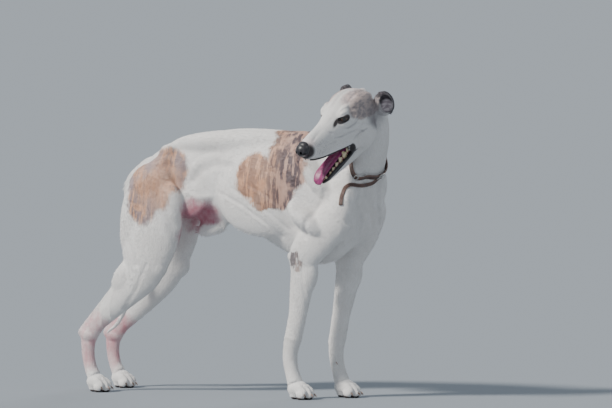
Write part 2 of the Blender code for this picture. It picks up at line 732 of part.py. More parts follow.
def tongue(grow=0.0):
    """Lies along the lower jaw and laps over the front teeth."""
    rows = (
        (0.088, -0.0450, -0.0580, 0.0130),
        (0.116, -0.0350, -0.0500, 0.0165),
        (0.146, -0.0285, -0.0420, 0.0180),
        (0.176, -0.0255, -0.0370, 0.0185),
        (0.204, -0.0235, -0.0335, 0.0195),
        (0.226, -0.0235, -0.0320, 0.0200),
        (0.240, -0.0265, -0.0345, 0.0185),
        (0.248, -0.0330, -0.0400, 0.0150),
        (0.251, -0.0400, -0.0440, 0.0090),
    )
    return mapped(barrel("tongue", rows, power=2.4, steps=2, grow=grow, sides=12), jaw_turn())


def ear(name, s):
    """A small ear folded back against the neck: an open cup with a curled rear rim and a tip."""
    lift = Matrix.Translation((0.014, 0, 0.006)) if s < 0 else Matrix()  # the right one is pricked a little
    outward = Matrix.Translation((-0.010, s * 0.055, 0.002)) @ Matrix.Rotation(math.radians(s * 62), 4, "Z")
    cup = mapped(ball("cup", (0, 0, 0), (0.020, 0.0265, 0.034)), outward)
    hollow = mapped(ball("hollow", (0.012, s * 0.003, 0.002), (0.0225, 0.0190, 0.0255)), outward)
    boolean(cup, [hollow], "DIFFERENCE")
    rim = [
        (-0.008, s * 0.050, 0.033, 0.0050, 0.0060),
        (-0.026, s * 0.057, 0.025, 0.0075, 0.0060),
        (-0.035, s * 0.062, 0.005, 0.0085, 0.0062),
        (-0.031, s * 0.064, -0.015, 0.0085, 0.0060),
        (-0.017, s * 0.062, -0.029, 0.0060, 0.0048),
    ]
    front = [
        (-0.002, s * 0.049, 0.033, 0.0035, 0.0035),
        (0.010, s * 0.052, 0.018, 0.0035, 0.0038),
        (0.010, s * 0.054, -0.006, 0.0035, 0.0038),
        (-0.003, s * 0.058, -0.024, 0.0040, 0.0040),
    ]
    pieces = [cup, limb("rim", rim, 3, 12), limb("front", front, 3, 10)]
    return mapped(fused(name, pieces, 0.0016, 2, TRIANGLES["ear"]), lift)


def nose_part():
    pieces = [
        ball("leather", (0.2590, 0, -0.0085), (0.0165, 0.0185, 0.0170), 8),
        ball("leather_top", (0.2520, 0, 0.0030), (0.0130, 0.0155, 0.0095), -10),
        ball("wing_left", (0.2645, 0.0102, -0.0095), (0.0090, 0.0085, 0.0100)),
        ball("wing_right", (0.2645, -0.0102, -0.0095), (0.0090, 0.0085, 0.0100)),
        ball("lip_front", (0.2530, 0, -0.0260), (0.0125, 0.0110, 0.0100), 20),
    ]
    nose = fused("nose", pieces, 0.0012, 3, TRIANGLES["nose"])
    holes = []
    for s in (-1, 1):
        holes.append(ball("nostril", (0.2742, s * 0.0076, -0.0090), (0.0095, 0.0034, 0.0042), -6, s * 18, 10))
        holes.append(ball("slit", (0.2702, s * 0.0152, -0.0120), (0.0085, 0.0044, 0.0015), 0, s * 35, 8))
    return largest(boolean(nose, holes, "DIFFERENCE"))


def face_parts(neck):
    """Head, jaw, tongue, nose, eyes and ears, each in its place on the neck."""
    place = head_matrix()
    head = head_part()
    slits = [eye_slit(s) for s in (-1, 1)]
    balls = {s: ball("eye", mirrored(EYE_CENTRE, s), (EYE_RADIUS,) * 3, 0, 0, 16) for s in (-1, 1)}
    boolean(head, slits, "DIFFERENCE")
    boolean(head, [swollen(balls[s], GAP) for s in (-1, 1)], "DIFFERENCE")
    boolean(head, [half_space((NOSE_CUT, 0, 0.004), (1, 0, -0.16))], "DIFFERENCE")
    nose = nose_part()
    boolean(nose, [half_space((NOSE_CUT + GAP, 0, 0.004), (1, 0, -0.16))], "INTERSECT")
    largest(head)
    largest(nose)

    middle = Vector((math.cos(JAW_OPEN / 2 - 0.12), 0, -math.sin(JAW_OPEN / 2 + 0.04)))
    down = Vector((-math.sin(JAW_OPEN + 0.25), 0, -math.cos(JAW_OPEN + 0.25)))
    corner = MOUTH_CORNER
    region = block("jaw_region", [
        corner + Vector((0, y, 0)) + reach
        for y in (-0.09, 0.09)
        for reach in (Vector(), middle * 0.22, middle * 0.22 + down * 0.16, down * 0.10)
    ])
    jaw = taken(head, region, "jaw")
    boolean(jaw, tooth_row(), "UNION")
    boolean(jaw, [tongue(GAP)], "DIFFERENCE")
    boolean(head, [tongue(GAP)], "DIFFERENCE")
    lapped = tongue()
    ears = {}
    for s, name in ((-1, "ear_right"), (1, "ear_left")):
        ears[name] = trimmed(ear(name, s), head)
    parts = {"head": largest(head), "jaw": largest(jaw), "tongue": lapped, "nose": nose, **ears}
    parts["eye_right"], parts["eye_left"] = balls[-1], balls[1]
    for name, obj in parts.items():
        obj.name = name
        mapped(obj, place)
    seat = place @ Vector((0.004, 0, -0.040))
    split = (place.to_3x3() @ Vector((0.50, 0, 0.87))).normalized()
    boolean(parts["head"], [half_space(seat + split * GAP / 2, split)], "INTERSECT")
    boolean(neck, [half_space(seat - split * GAP / 2, -split)], "INTERSECT")
    largest(parts["head"])
    largest(neck)
    return parts


def dress(parts):
    looks = {
        "coat": finish_of("white_coat", (0.86, 0.84, 0.82), 0.75),
        "ear": finish_of("grey_ear", (0.24, 0.23, 0.25), 0.75),
        "nose": finish_of("black_leather_skin", (0.03, 0.03, 0.035), 0.35),
        "eye": finish_of("dark_eye", (0.06, 0.03, 0.02), 0.08),
        "tongue": finish_of("pink_tongue", (0.62, 0.22, 0.28), 0.35),
        "collar": finish_of("brown_leather", (0.20, 0.11, 0.08), 0.55),
        "metal": finish_of("steel", (0.62, 0.62, 0.60), 0.30, 1.0),
    }
    kinds = {
        "tongue": "tongue", "nose": "nose", "eye_right": "eye", "eye_left": "eye",
        "ear_right": "ear", "ear_left": "ear", "collar": "collar", "collar_strap": "collar",
        "collar_buckle": "metal", "collar_ring": "metal",
    }
    home = group("greyhound")
    for name, obj in parts.items():
        obj.name = name
        obj.data.materials.clear()
        obj.data.materials.append(looks[kinds.get(name, "coat")])
        mapped(obj, Matrix.Translation(STANCE_SHIFT))
        for old in list(obj.users_collection):
            old.objects.unlink(obj)
        home.objects.link(obj)


def main():
    clear_scene()
    parts = body_parts()
    parts.update(paws())
    parts.update(tail_parts(parts["loin"]))
    parts["collar"] = neck_collar(parts["neck"])
    parts["collar_buckle"] = fitting(parts["neck"], "collar_buckle", BUCKLE_AT, 0.017, 0.022, 0.0035)
    parts["collar_ring"] = fitting(parts["neck"], "collar_ring", RING_AT, 0.010, 0.021, 0.0030)
    loose = free_end("collar_strap", (parts["neck"], parts["chest"]))
    parts["collar_strap"] = trimmed(loose, parts["collar"], parts["collar_ring"], parts["collar_buckle"])
    parts.update(face_parts(parts["neck"]))
    dress(parts)


main()
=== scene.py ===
"""The looks of the greyhound: skin, coat, face, feet and collar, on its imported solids.

Metres, +Z up. Forms are modelled in the stance frame, whose origin is on the floor below the
withers, and are moved by STANCE_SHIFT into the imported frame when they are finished.
"""

import math

import bmesh
import bpy
import numpy as np
from mathutils import Matrix, Vector


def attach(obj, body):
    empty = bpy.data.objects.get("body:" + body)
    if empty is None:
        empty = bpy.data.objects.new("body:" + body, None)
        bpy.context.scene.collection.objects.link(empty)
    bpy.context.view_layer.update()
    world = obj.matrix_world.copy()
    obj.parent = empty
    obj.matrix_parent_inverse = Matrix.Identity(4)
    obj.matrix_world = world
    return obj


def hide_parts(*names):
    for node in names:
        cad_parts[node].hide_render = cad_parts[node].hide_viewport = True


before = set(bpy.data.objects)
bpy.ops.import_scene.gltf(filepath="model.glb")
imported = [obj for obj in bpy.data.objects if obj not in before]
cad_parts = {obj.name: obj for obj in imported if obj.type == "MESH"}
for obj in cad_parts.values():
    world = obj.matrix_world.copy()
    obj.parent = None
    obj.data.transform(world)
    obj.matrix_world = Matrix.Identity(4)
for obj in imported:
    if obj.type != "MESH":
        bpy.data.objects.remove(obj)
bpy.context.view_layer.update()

STANCE_SHIFT = Vector((0.2133, 0.0721, 0.0))
BODY_VOXEL = 0.0022
HEAD_VOXEL = 0.0015
BODY_TRIANGLES = 95000
HEAD_TRIANGLES = 95000
COLLAR_AT = Vector((0.186, 0.014, 0.665))
COLLAR_NORMAL = Vector((0.759, -0.370, 0.536)).normalized()
COAT_DEPTH = 0.0012  # the skin lies this far inside the solids
FACE_DEPTH = 0.0004  # and this far where the hair is shortest
TUFTS_PER_PIECE = 47000
CAMERA_TURN = math.radians(30)
CAMERA_AWAY = 7.0
CAMERA_HEIGHT = 0.498
CAMERA_FOCUS = 2570 / 612  # focal length in picture widths
CAMERA_SHIFT = (3 / 612, 10.7 / 612)
PATCH_SIZE = 0.003  # of each tuft on the unwrap
MEAN_HAIR = 0.0075
FOLD_DEPTH = 0.0026  # sunk this far, a fold has its full shade
FLOOR_TONE = (0.285, 0.313, 0.348, 1)  # as bright under its lights as the studio behind it

# Trunk: x, top, underside, half width
TRUNK = (
    (-0.566, 0.585, 0.535, 0.022),
    (-0.530, 0.630, 0.505, 0.048),
    (-0.480, 0.668, 0.492, 0.064),
    (-0.425, 0.698, 0.488, 0.072),
    (-0.350, 0.720, 0.484, 0.066),
    (-0.270, 0.732, 0.478, 0.064),
    (-0.190, 0.738, 0.468, 0.076),
    (-0.110, 0.735, 0.428, 0.090),
    (-0.030, 0.728, 0.386, 0.096),
    (0.045, 0.718, 0.362, 0.090),
    (0.110, 0.636, 0.376, 0.070),
    (0.160, 0.580, 0.420, 0.050),
    (0.188, 0.540, 0.470, 0.028),
)
# Neck: x, y, z, fore-and-aft radius, side radius
NECK = (
    (0.035, 0.004, 0.590, 0.105, 0.064),
    (0.112, 0.010, 0.590, 0.092, 0.070),
    (0.160, 0.017, 0.624, 0.074, 0.063),
    (0.188, 0.015, 0.674, 0.061, 0.055),
    (0.203, 0.006, 0.720, 0.055, 0.051),
    (0.212, -0.012, 0.754, 0.052, 0.048),
    (0.214, -0.034, 0.782, 0.044, 0.042),
)
# Tail: x, y, z, radius
TAIL = (
    (-0.500, 0.000, 0.640, 0.020),
    (-0.540, 0.000, 0.606, 0.023),
    (-0.562, 0.001, 0.574, 0.0205),
    (-0.566, 0.004, 0.520, 0.0165),
    (-0.564, 0.008, 0.450, 0.0135),
    (-0.564, 0.012, 0.380, 0.0112),
    (-0.572, 0.016, 0.310, 0.0093),
    (-0.590, 0.020, 0.245, 0.0078),
    (-0.620, 0.022, 0.192, 0.0062),
    (-0.655, 0.022, 0.164, 0.0043),
)
# Each leg: x, y, z, fore-and-aft radius, side radius, from the joint in the body to the root of the toes
FORELEG = {
    "right": (
        (0.150, -0.070, 0.500, 0.050, 0.030),
        (0.100, -0.074, 0.445, 0.053, 0.030),
        (0.050, -0.074, 0.392, 0.049, 0.027),
        (0.042, -0.071, 0.345, 0.0385, 0.0235),
        (0.032, -0.068, 0.285, 0.0335, 0.0215),
        (0.020, -0.065, 0.220, 0.0268, 0.0195),
        (0.006, -0.063, 0.165, 0.0250, 0.0210),
        (-0.003, -0.062, 0.130, 0.0222, 0.0195),
        (-0.004, -0.062, 0.100, 0.0205, 0.0185),
        (0.003, -0.062, 0.070, 0.0200, 0.0200),
        (0.011, -0.062, 0.046, 0.0220, 0.0230),
    ),
    "left": (
        (0.172, 0.070, 0.512, 0.050, 0.032),
        (0.142, 0.074, 0.450, 0.052, 0.030),
        (0.108, 0.074, 0.392, 0.049, 0.027),
        (0.102, 0.071, 0.345, 0.0385, 0.0235),
        (0.094, 0.068, 0.285, 0.0335, 0.0215),
        (0.082, 0.065, 0.220, 0.0268, 0.0195),
        (0.073, 0.064, 0.165, 0.0250, 0.0210),
        (0.068, 0.064, 0.130, 0.0222, 0.0195),
        (0.070, 0.064, 0.100, 0.0205, 0.0185),
        (0.077, 0.064, 0.070, 0.0200, 0.0200),
        (0.085, 0.065, 0.046, 0.0220, 0.0230),
    ),
}
HINDLEG = {
    "right": (
        (-0.436, -0.072, 0.560, 0.080, 0.040),
        (-0.428, -0.084, 0.470, 0.090, 0.042),
        (-0.448, -0.090, 0.390, 0.080, 0.038),
        (-0.466, -0.090, 0.335, 0.062, 0.033),
        (-0.508, -0.089, 0.288, 0.045, 0.027),
        (-0.567, -0.088, 0.236, 0.0325, 0.0215),
        (-0.622, -0.087, 0.188, 0.0248, 0.0175),
        (-0.645, -0.086, 0.158, 0.0262, 0.0170),
        (-0.650, -0.086, 0.128, 0.0218, 0.0155),
        (-0.648, -0.086, 0.095, 0.0195, 0.0150),
        (-0.640, -0.086, 0.065, 0.0190, 0.0170),
        (-0.630, -0.086, 0.046, 0.0205, 0.0205),
    ),
    "left": (
        (-0.455, 0.072, 0.560, 0.078, 0.040),
        (-0.470, 0.084, 0.470, 0.084, 0.042),
        (-0.492, 0.090, 0.390, 0.070, 0.038),
        (-0.512, 0.092, 0.332, 0.057, 0.033),
        (-0.552, 0.093, 0.280, 0.043, 0.027),
        (-0.606, 0.094, 0.228, 0.0325, 0.0215),
        (-0.662, 0.095, 0.178, 0.0248, 0.0175),
        (-0.684, 0.095, 0.150, 0.0262, 0.0170),
        (-0.689, 0.095, 0.122, 0.0218, 0.0155),
        (-0.687, 0.095, 0.092, 0.0195, 0.0150),
        (-0.679, 0.095, 0.064, 0.0190, 0.0170),
        (-0.669, 0.095, 0.046, 0.0205, 0.0205),
    ),
}
TOE_REACH = {"fore": 0.056, "hind": 0.054}
TOES = ((-1.5, 0.76), (-0.5, 1.0), (0.5, 1.0), (1.5, 0.76))  # place across the foot, share of the reach
TOE_GAP = 0.0125  # from one toe's root to the next
TOE_SPREAD = 1.28  # how much wider apart the tips stand
TOE_TURN = 5.0  # degrees outward for each place

# Head, in its own frame: origin inside the occiput, +X to the nose, +Y to the dog's left
HEAD_AT = Vector((0.2162, -0.0413, 0.793))
HEAD_HEADING = math.radians(-107.6)
HEAD_PITCH = math.radians(27.5)
HEAD_ROLL = math.radians(8.9)
SKULL = (
    (-0.014, 0.022, -0.055, 0.028),
    (0.002, 0.044, -0.066, 0.043),
    (0.025, 0.060, -0.074, 0.0515),
    (0.054, 0.069, -0.076, 0.0545),
    (0.083, 0.069, -0.070, 0.0530),
    (0.110, 0.059, -0.062, 0.0480),
    (0.135, 0.0440, -0.055, 0.0410),
    (0.160, 0.0325, -0.053, 0.0335),
    (0.188, 0.0245, -0.051, 0.0290),
    (0.215, 0.0190, -0.048, 0.0258),
    (0.238, 0.0155, -0.044, 0.0230),
    (0.257, 0.0100, -0.037, 0.0185),
)
JAW_HINGE = Vector((0.048, 0.0, -0.041))
JAW_OPEN = math.radians(23.0)
JAW = (
    (0.028, -0.045, -0.072, 0.022),
    (0.058, -0.045, -0.089, 0.030),
    (0.098, -0.047, -0.097, 0.0305),
    (0.130, -0.046, -0.092, 0.0260),
    (0.160, -0.044, -0.083, 0.0225),
    (0.190, -0.042, -0.073, 0.0200),
    (0.216, -0.040, -0.065, 0.0180),
    (0.236, -0.040, -0.057, 0.0130),
)
EYE_CENTRE = Vector((0.1170, 0.0290, 0.0205))  # of the left eye
EYE_RADIUS = 0.0150
EYE_GAZE = Vector((0.62, 0.78, 0.10)).normalized()
LID_THICKNESS = 0.0024
LID_SLIT = (0.0186, 0.0074)  # half width and half height of the cutter
LID_TILT = 12  # degrees that the slit between the lids leans
EAR_LIFT = (0.019, 0, 0.0165)  # of the right ear, which is pricked a little

# Collar: a leather band, the loose end of its strap, a ring and a buckle
COLLAR_WIDTH = 0.0165
COLLAR_THICKNESS = 0.0032
COLLAR_LIFT = 0.0026  # from the skin to the middle of the leather
BUCKLE_AT = Vector((0.226, 0.014, 0.612))
RING_AT = Vector((0.199, -0.058, 0.600))
COLLAR_STEPS = 96  # points round the neck
STITCH = 0.0036  # from one to the next
STRAP_HALF = 0.0052
STRAP_THICKNESS = 0.0026
STRAP_LIFT = 0.0024
STRAP = (
    (0.2255, 0.0210, 0.6060),
    (0.2230, 0.0130, 0.5960),
    (0.2180, 0.0040, 0.5860),
    (0.2110, -0.0100, 0.5790),
    (0.2030, -0.0400, 0.5760),
    (0.1920, -0.0620, 0.5780),
    (0.1800, -0.0690, 0.5770),
    (0.1700, -0.0720, 0.5680),
    (0.1650, -0.0760, 0.5540),
    (0.1660, -0.0850, 0.5380),
    (0.1680, -0.0910, 0.5230),
)


# Hand tools


def alone(*objs):
    """Selects just these, the first one active."""
    if bpy.context.object and bpy.context.object.mode != "OBJECT":
        bpy.ops.object.mode_set(mode="OBJECT")
    bpy.ops.object.select_all(action="DESELECT")
    for obj in objs:
        obj.select_set(True)
    bpy.context.view_layer.objects.active = objs[0]
    return objs[0]


def clay(name):
    """A new mesh, open in edit mode, for lumps and tubes to be added to."""
    if bpy.context.object and bpy.context.object.mode != "OBJECT":
        bpy.ops.object.mode_set(mode="OBJECT")
    bpy.ops.object.select_all(action="DESELECT")
    bpy.ops.object.add(type="MESH", enter_editmode=True)
    bpy.context.object.name = name
    return bpy.context.object


def closed(obj):
    """Leaves edit mode."""
    bpy.ops.object.mode_set(mode="OBJECT")
    return obj


def modify(obj, kind, **settings):
    """Adds a modifier, sets it and applies it."""
    alone(obj)
    bpy.ops.object.modifier_add(type=kind)
    modifier = obj.modifiers[-1]
    for key, value in settings.items():
        setattr(modifier, key, value)
    bpy.ops.object.modifier_apply(modifier=modifier.name)
    return obj


def melted(obj, voxel, passes):
    """One smooth surface over all the clay of the object."""
    modify(obj, "REMESH", mode="VOXEL", voxel_size=voxel)
    if passes:
        modify(obj, "SMOOTH", factor=0.5, iterations=passes)
    return obj


def joined(name, *objs):
    alone(*objs)
    if len(objs) > 1:
        bpy.ops.object.join()
    obj = bpy.context.object
    obj.name = name
    return obj


def twin(obj, name):
    """A copy of the object with a mesh of its own."""
    alone(obj)
    bpy.ops.object.duplicate()
    bpy.context.object.name = name
    return bpy.context.object


def placed(obj, matrix):
    """Moves the object and leaves its place in its mesh."""
    alone(obj)
    obj.matrix_world = matrix
    bpy.ops.object.transform_apply(location=True, rotation=True, scale=True)
    return obj


def cut(obj, cutter):
    """Takes the cutter's shape out of the object."""
    modify(obj, "BOOLEAN", object=cutter, operation="DIFFERENCE", solver="MANIFOLD")
    bpy.data.objects.remove(cutter)
    return obj


def pick(wanted):
    """Selects the vertices of the open mesh that are wanted, and the edges and faces between them."""
    bpy.ops.mesh.select_all(action="DESELECT")
    mesh = bpy.context.object.data
    bm = bmesh.from_edit_mesh(mesh)
    bm.verts.ensure_lookup_table()
    for vert in bm.verts:
        vert.select = wanted(vert)
    bm.select_flush_mode()
    bmesh.update_edit_mesh(mesh)


def vertex_count():
    return len(bmesh.from_edit_mesh(bpy.context.object.data).verts)


def lump(centre, radii, tilt=0.0, turn=0.0, around=24):
    """An ellipsoid; tilt lifts its +X end, turn swings that end to the left, in degrees."""
    bpy.ops.mesh.primitive_uv_sphere_add(
        segments=around, ring_count=around // 2, radius=1.0, location=centre,
        rotation=(0, math.radians(-tilt), math.radians(turn)), scale=radii,
    )


def between(stations, steps):
    """Stations on a smooth curve through the given ones, steps to each stretch."""
    ends = (stations[0], *stations, stations[-1])
    out = []
    for before, a, b, after in zip(ends, ends[1:], ends[2:], ends[3:]):
        for step in range(steps):
            t = step / steps
            out.append(tuple(
                0.5 * (2 * q + (r - p) * t + (2 * p - 5 * q + 4 * r - s) * t * t
                       + (3 * q - p - 3 * r + s) * t ** 3)
                for p, q, r, s in zip(before, a, b, after)
            ))
    out.append(tuple(stations[-1]))
    return out


def ring(centre, axes, radii, sides):
    """An oval of points, its two radii along the first two axes."""
    turn = Matrix(axes).transposed()
    bpy.ops.mesh.primitive_circle_add(
        vertices=sides, radius=radii[1], fill_type="NOTHING", location=centre, rotation=turn.to_euler(),
    )
    bpy.ops.transform.resize(
        value=(radii[0] / radii[1], 1, 1), center_override=centre,
        orient_type="GLOBAL", orient_matrix_type="GLOBAL", orient_matrix=turn,
    )


def pick_rings(starts, sides):
    """Selects the rings whose first vertices have these numbers."""
    bpy.ops.mesh.select_all(action="DESELECT")
    mesh = bpy.context.object.data
    bm = bmesh.from_edit_mesh(mesh)
    bm.verts.ensure_lookup_table()
    for start in starts:
        for vert in bm.verts[start:start + sides]:
            vert.select = True
    bm.select_flush_mode()
    bmesh.update_edit_mesh(mesh)


def skinned(first, sides):
    """Bridges the rings added since vertex number first, one to the next, and closes both ends."""
    starts = range(first, vertex_count(), sides)
    for start, after in zip(starts, starts[1:]):
        pick_rings((start, after), sides)
        bpy.ops.mesh.bridge_edge_loops()
    for start in (starts[0], starts[-1]):
        pick_rings((start,), sides)
        bpy.ops.mesh.edge_face_add()


def tube(stations, steps=3, sides=20):
    """Oval rings across a smooth path; station: x, y, z, fore-and-aft radius, side radius."""
    first = vertex_count()
    line = between(stations, steps)
    for i, (x, y, z, fore, side) in enumerate(line):
        ahead = Vector(line[min(i + 1, len(line) - 1)][:3])
        behind = Vector(line[max(i - 1, 0)][:3])
        along = (ahead - behind).normalized()
        across = (Vector((0, 1, 0)) - along * along.y).normalized()
        ring((x, y, z), (across.cross(along), across, along), (fore, side), sides)
    skinned(first, sides)


def cord_of(points, radius, steps=3, sides=8):
    """A round tube through points, whatever way it runs."""
    first = vertex_count()
    line = [Vector(p) for p in between(points, steps)]
    side = Vector((0.31, 0.87, 0.38))
    for i, point in enumerate(line):
        along = (line[min(i + 1, len(line) - 1)] - line[max(i - 1, 0)]).normalized()
        side = (side - along * side.dot(along)).normalized()
        size = radius(i / (len(line) - 1)) if callable(radius) else radius
        ring(point, (side, along.cross(side), along), (size, size), sides)
    skinned(first, sides)


def barrel(stations, power=2.2, keel=0.0, ridge=0.0, steps=4, sides=28):
    """Rings across X; station: x, top, underside, half width. Keel narrows them below, ridge above."""
    first = vertex_count()
    for x, top, bottom, half in between(stations, steps):
        axes = (Vector((0, 0, 1)), Vector((0, 1, 0)), Vector((-1, 0, 0)))
        ring((x, 0, (top + bottom) / 2), axes, ((top - bottom) / 2, half), sides)
    skinned(first, sides)
    for k in range(sides):
        up, across = -math.sin(math.tau * k / sides), abs(math.cos(math.tau * k / sides))
        if across < 0.01:
            continue
        narrow = (1 - (keel if up < 0 else ridge) * up * up) * across ** (2 / power - 1)
        pick(lambda v: v.index >= first and (v.index - first) % sides == k)
        bpy.ops.transform.resize(value=(1, narrow, 1), center_override=(0, 0, 0))


def side_of(name):
    return 1.0 if "left" in name else -1.0


def mirrored(point, s):
    return Vector((point[0], s * point[1], point[2]))


def sided(s, *points):
    """Points given for the left side, on side s."""
    return [(x, s * y, z) for x, y, z in points]


# Skin


def trunk_clay():
    obj = clay("trunk")
    barrel(TRUNK, power=2.25, keel=0.34, ridge=0.22)
    tube(NECK)
    for s in (-1, 1):
        ahead = 0.03 if s > 0 else 0.0  # the left foreleg stands further forward
        lump((0.072 + ahead / 2, s * 0.054, 0.605), (0.105, 0.046, 0.026), -52)
        lump((0.152 + ahead, s * 0.066, 0.512), (0.040, 0.030, 0.044))
        lump((0.062 + ahead, s * 0.072, 0.485), (0.082, 0.060, 0.030), -38)
        lump((0.138, s * 0.036, 0.470), (0.048, 0.040, 0.058))
        lump((-0.075, s * 0.052, 0.560), (0.170, 0.048, 0.125), 4)
        lump((-0.215, s * 0.034, 0.700), (0.190, 0.034, 0.033), 1)
        lump((-0.408, s * 0.050, 0.678), (0.030, 0.018, 0.018), 24)
        lump((-0.442, s * 0.046, 0.616), (0.076, 0.042, 0.036), 40)
        lump((-0.522, s * 0.050, 0.556), (0.026, 0.026, 0.036))
        lump((0.160, s * 0.040, 0.575), (0.050, 0.034, 0.060))
        lump((-0.330, s * 0.056, 0.545), (0.060, 0.016, 0.055), -30)
    lump((0.184, 0.048, 0.580), (0.050, 0.034, 0.074))
    lump((0.000, 0, 0.700), (0.080, 0.030, 0.028), -6)
    lump((0.176, 0, 0.498), (0.022, 0.020, 0.030), 60)
    lump((-0.292, 0, 0.462), (0.056, 0.020, 0.026), 14)
    return melted(closed(obj), 0.005, 17)


def heel_cord(side):
    """From the calf down to the point of the hock."""
    s = side_of(side)
    shift = HINDLEG[side][2][0] - HINDLEG["right"][2][0]
    drop = HINDLEG[side][6][2] - HINDLEG["right"][6][2]
    hock = HINDLEG[side][7]
    return (
        (-0.548 + shift, s * 0.090, 0.292 + drop / 2, 0.018, 0.014),
        (hock[0] + 0.006, hock[1], hock[2] + 0.050, 0.0105, 0.0085),
        (hock[0] - 0.024, hock[1], hock[2] + 0.014, 0.0125, 0.0100),
    )


def leg_clay():
    """Tubes come before lumps, as a sphere leaves the numbers of later points out of order."""
    obj = clay("legs")
    for side in ("right", "left"):
        tube(FORELEG[side])
        tube(HINDLEG[side])
        tube(heel_cord(side))
    for side, stations in FORELEG.items():
        s = side_of(side)
        elbow, wrist = stations[2], stations[6]
        lump((elbow[0] - 0.036, s * 0.070, elbow[2] - 0.010), (0.017, 0.015, 0.024), 60)
        lump((elbow[0] + 0.004, s * 0.071, 0.338), (0.033, 0.024, 0.060), -8)
        lump((wrist[0], wrist[1], 0.166), (0.026, 0.022, 0.022))
        lump((wrist[0] - 0.023, wrist[1], 0.152), (0.008, 0.009, 0.013))
    for side, stations in HINDLEG.items():
        s = side_of(side)
        shift = stations[2][0] - HINDLEG["right"][2][0]
        drop = stations[6][2] - HINDLEG["right"][6][2]
        hock = stations[7]
        lump((-0.484 + shift, s * 0.080, 0.480), (0.056, 0.042, 0.125), -4)
        lump((-0.388 + shift, s * 0.086, 0.480), (0.046, 0.034, 0.110), -10)
        lump((-0.446 + shift * 0.5, s * 0.066, 0.572), (0.080, 0.048, 0.072), 30)
        lump((-0.412 + shift, s * 0.092, 0.352), (0.030, 0.026, 0.038), -30)
        lump((-0.512 + shift, s * 0.091, 0.326 + drop / 2), (0.066, 0.029, 0.040), 52)
        lump((hock[0] - 0.024, hock[1], hock[2] + 0.008), (0.0145, 0.0130, 0.0150))
        lump((hock[0] + 0.004, hock[1], hock[2] + 0.006), (0.026, 0.0195, 0.024))
    return closed(obj)


def paw_clay(kind, side, stations):
    """Pastern, ball of the foot and four toes."""
    obj = clay(f"{kind}paw_{side}")
    foot = Vector(stations[-1][:3])
    tube(stations[-6:])
    lump(stations[-5][:3], (0.026, 0.022, 0.022))
    lump(foot + Vector((0.008, 0, -0.017)), (0.030, 0.0250, 0.024))
    lump(foot + Vector((0.004, 0, -0.034)), (0.020, 0.0180, 0.014))
    for place, length in TOES:
        out, turn = place * TOE_GAP, place * TOE_TURN
        far = TOE_REACH[kind] * length
        tip = foot + Vector((far, out * TOE_SPREAD, 0))
        lump((foot.x + far * 0.50, foot.y + out, 0.0270), (0.0280, 0.0088, 0.0140), -20, turn)
        lump((foot.x + far * 0.58, foot.y + out, 0.0305), (0.0115, 0.0090, 0.0110))
        lump((tip.x - 0.013, tip.y, 0.0135), (0.0150, 0.0090, 0.0120), -12, turn)
    if kind == "fore":
        lump(foot + Vector((-0.008, -side_of(side) * 0.018, 0.058)), (0.006, 0.006, 0.012))
    return closed(obj)


def head_matrix():
    """Places the head's frame in the stance frame."""
    heading = Vector((math.cos(HEAD_HEADING), math.sin(HEAD_HEADING), 0))
    nose = heading * math.cos(HEAD_PITCH) - Vector((0, 0, math.sin(HEAD_PITCH)))
    left = Vector((-math.sin(HEAD_HEADING), math.cos(HEAD_HEADING), 0))
    crown = nose.cross(left)
    tilted = left * math.cos(HEAD_ROLL) - crown * math.sin(HEAD_ROLL)
    crown = nose.cross(tilted)
    turn = Matrix((nose, tilted, crown)).transposed().to_4x4()
    return Matrix.Translation(HEAD_AT) @ turn


def jaw_turn():
    """Opens the mouth: turns the lower jaw about its hinge, in the head's frame."""
    return (
        Matrix.Translation(JAW_HINGE)
        @ Matrix.Rotation(JAW_OPEN, 4, "Y")
        @ Matrix.Translation(-JAW_HINGE)
    )


def head_clay():
    obj = clay("head")
    barrel(JAW, power=2.3, keel=0.22)
    placed(closed(obj), jaw_turn())
    upper = clay("upper_head")
    barrel(SKULL, power=2.35, keel=0.10, ridge=0.14)
    lump((0.004, 0, 0.034), (0.018, 0.013, 0.014), 10)
    lump((0.050, 0, -0.078), (0.052, 0.034, 0.030), -22)
    lump((0.200, 0, 0.014), (0.066, 0.0115, 0.0105), -10)
    for s in (-1, 1):
        lump((0.090, s * 0.044, -0.010), (0.042, 0.010, 0.012), -14, -s * 10)
        lump((0.060, s * 0.038, -0.050), (0.044, 0.018, 0.038), -20)
        lump((0.098, s * 0.031, -0.058), (0.032, 0.008, 0.024), -30, -s * 8)
        lump((0.114, s * 0.030, 0.038), (0.022, 0.012, 0.011), -26, -s * 14)
        lump((0.050, s * 0.031, 0.036), (0.048, 0.020, 0.022), 4)
        lump((0.145, s * 0.026, -0.016), (0.036, 0.012, 0.020), -6, -s * 9)
        lump((0.200, s * 0.0165, -0.022), (0.056, 0.0105, 0.0190), 3, -s * 3)
        lump((0.230, s * 0.0120, -0.0320), (0.028, 0.0105, 0.0110), 6, -s * 6)
        lump(mirrored(EYE_CENTRE, s), (EYE_RADIUS + 2 * LID_THICKNESS,) * 3)
    return melted(joined("head", closed(upper), obj), 0.0018, 9)


def flews():
    """Soft upper lips that hang over the gums."""
    obj = clay("flews")
    edge = (
        (0.1040, 0.0330, -0.0540), (0.1300, 0.0315, -0.0520), (0.1600, 0.0270, -0.0495),
        (0.1900, 0.0230, -0.0468), (0.2180, 0.0195, -0.0430), (0.2400, 0.0140, -0.0370),
    )
    for s in (-1, 1):
        for inward, up, back, front in ((0.0025, 0.0010, 0.0072, 0.0055), (0.0040, 0.0070, 0.0068, 0.0050)):
            points = [(x, s * (y - inward), z + up) for x, y, z in edge]
            cord_of(points, lambda t: back + (front - back) * t, 4, 14)
    return closed(obj)


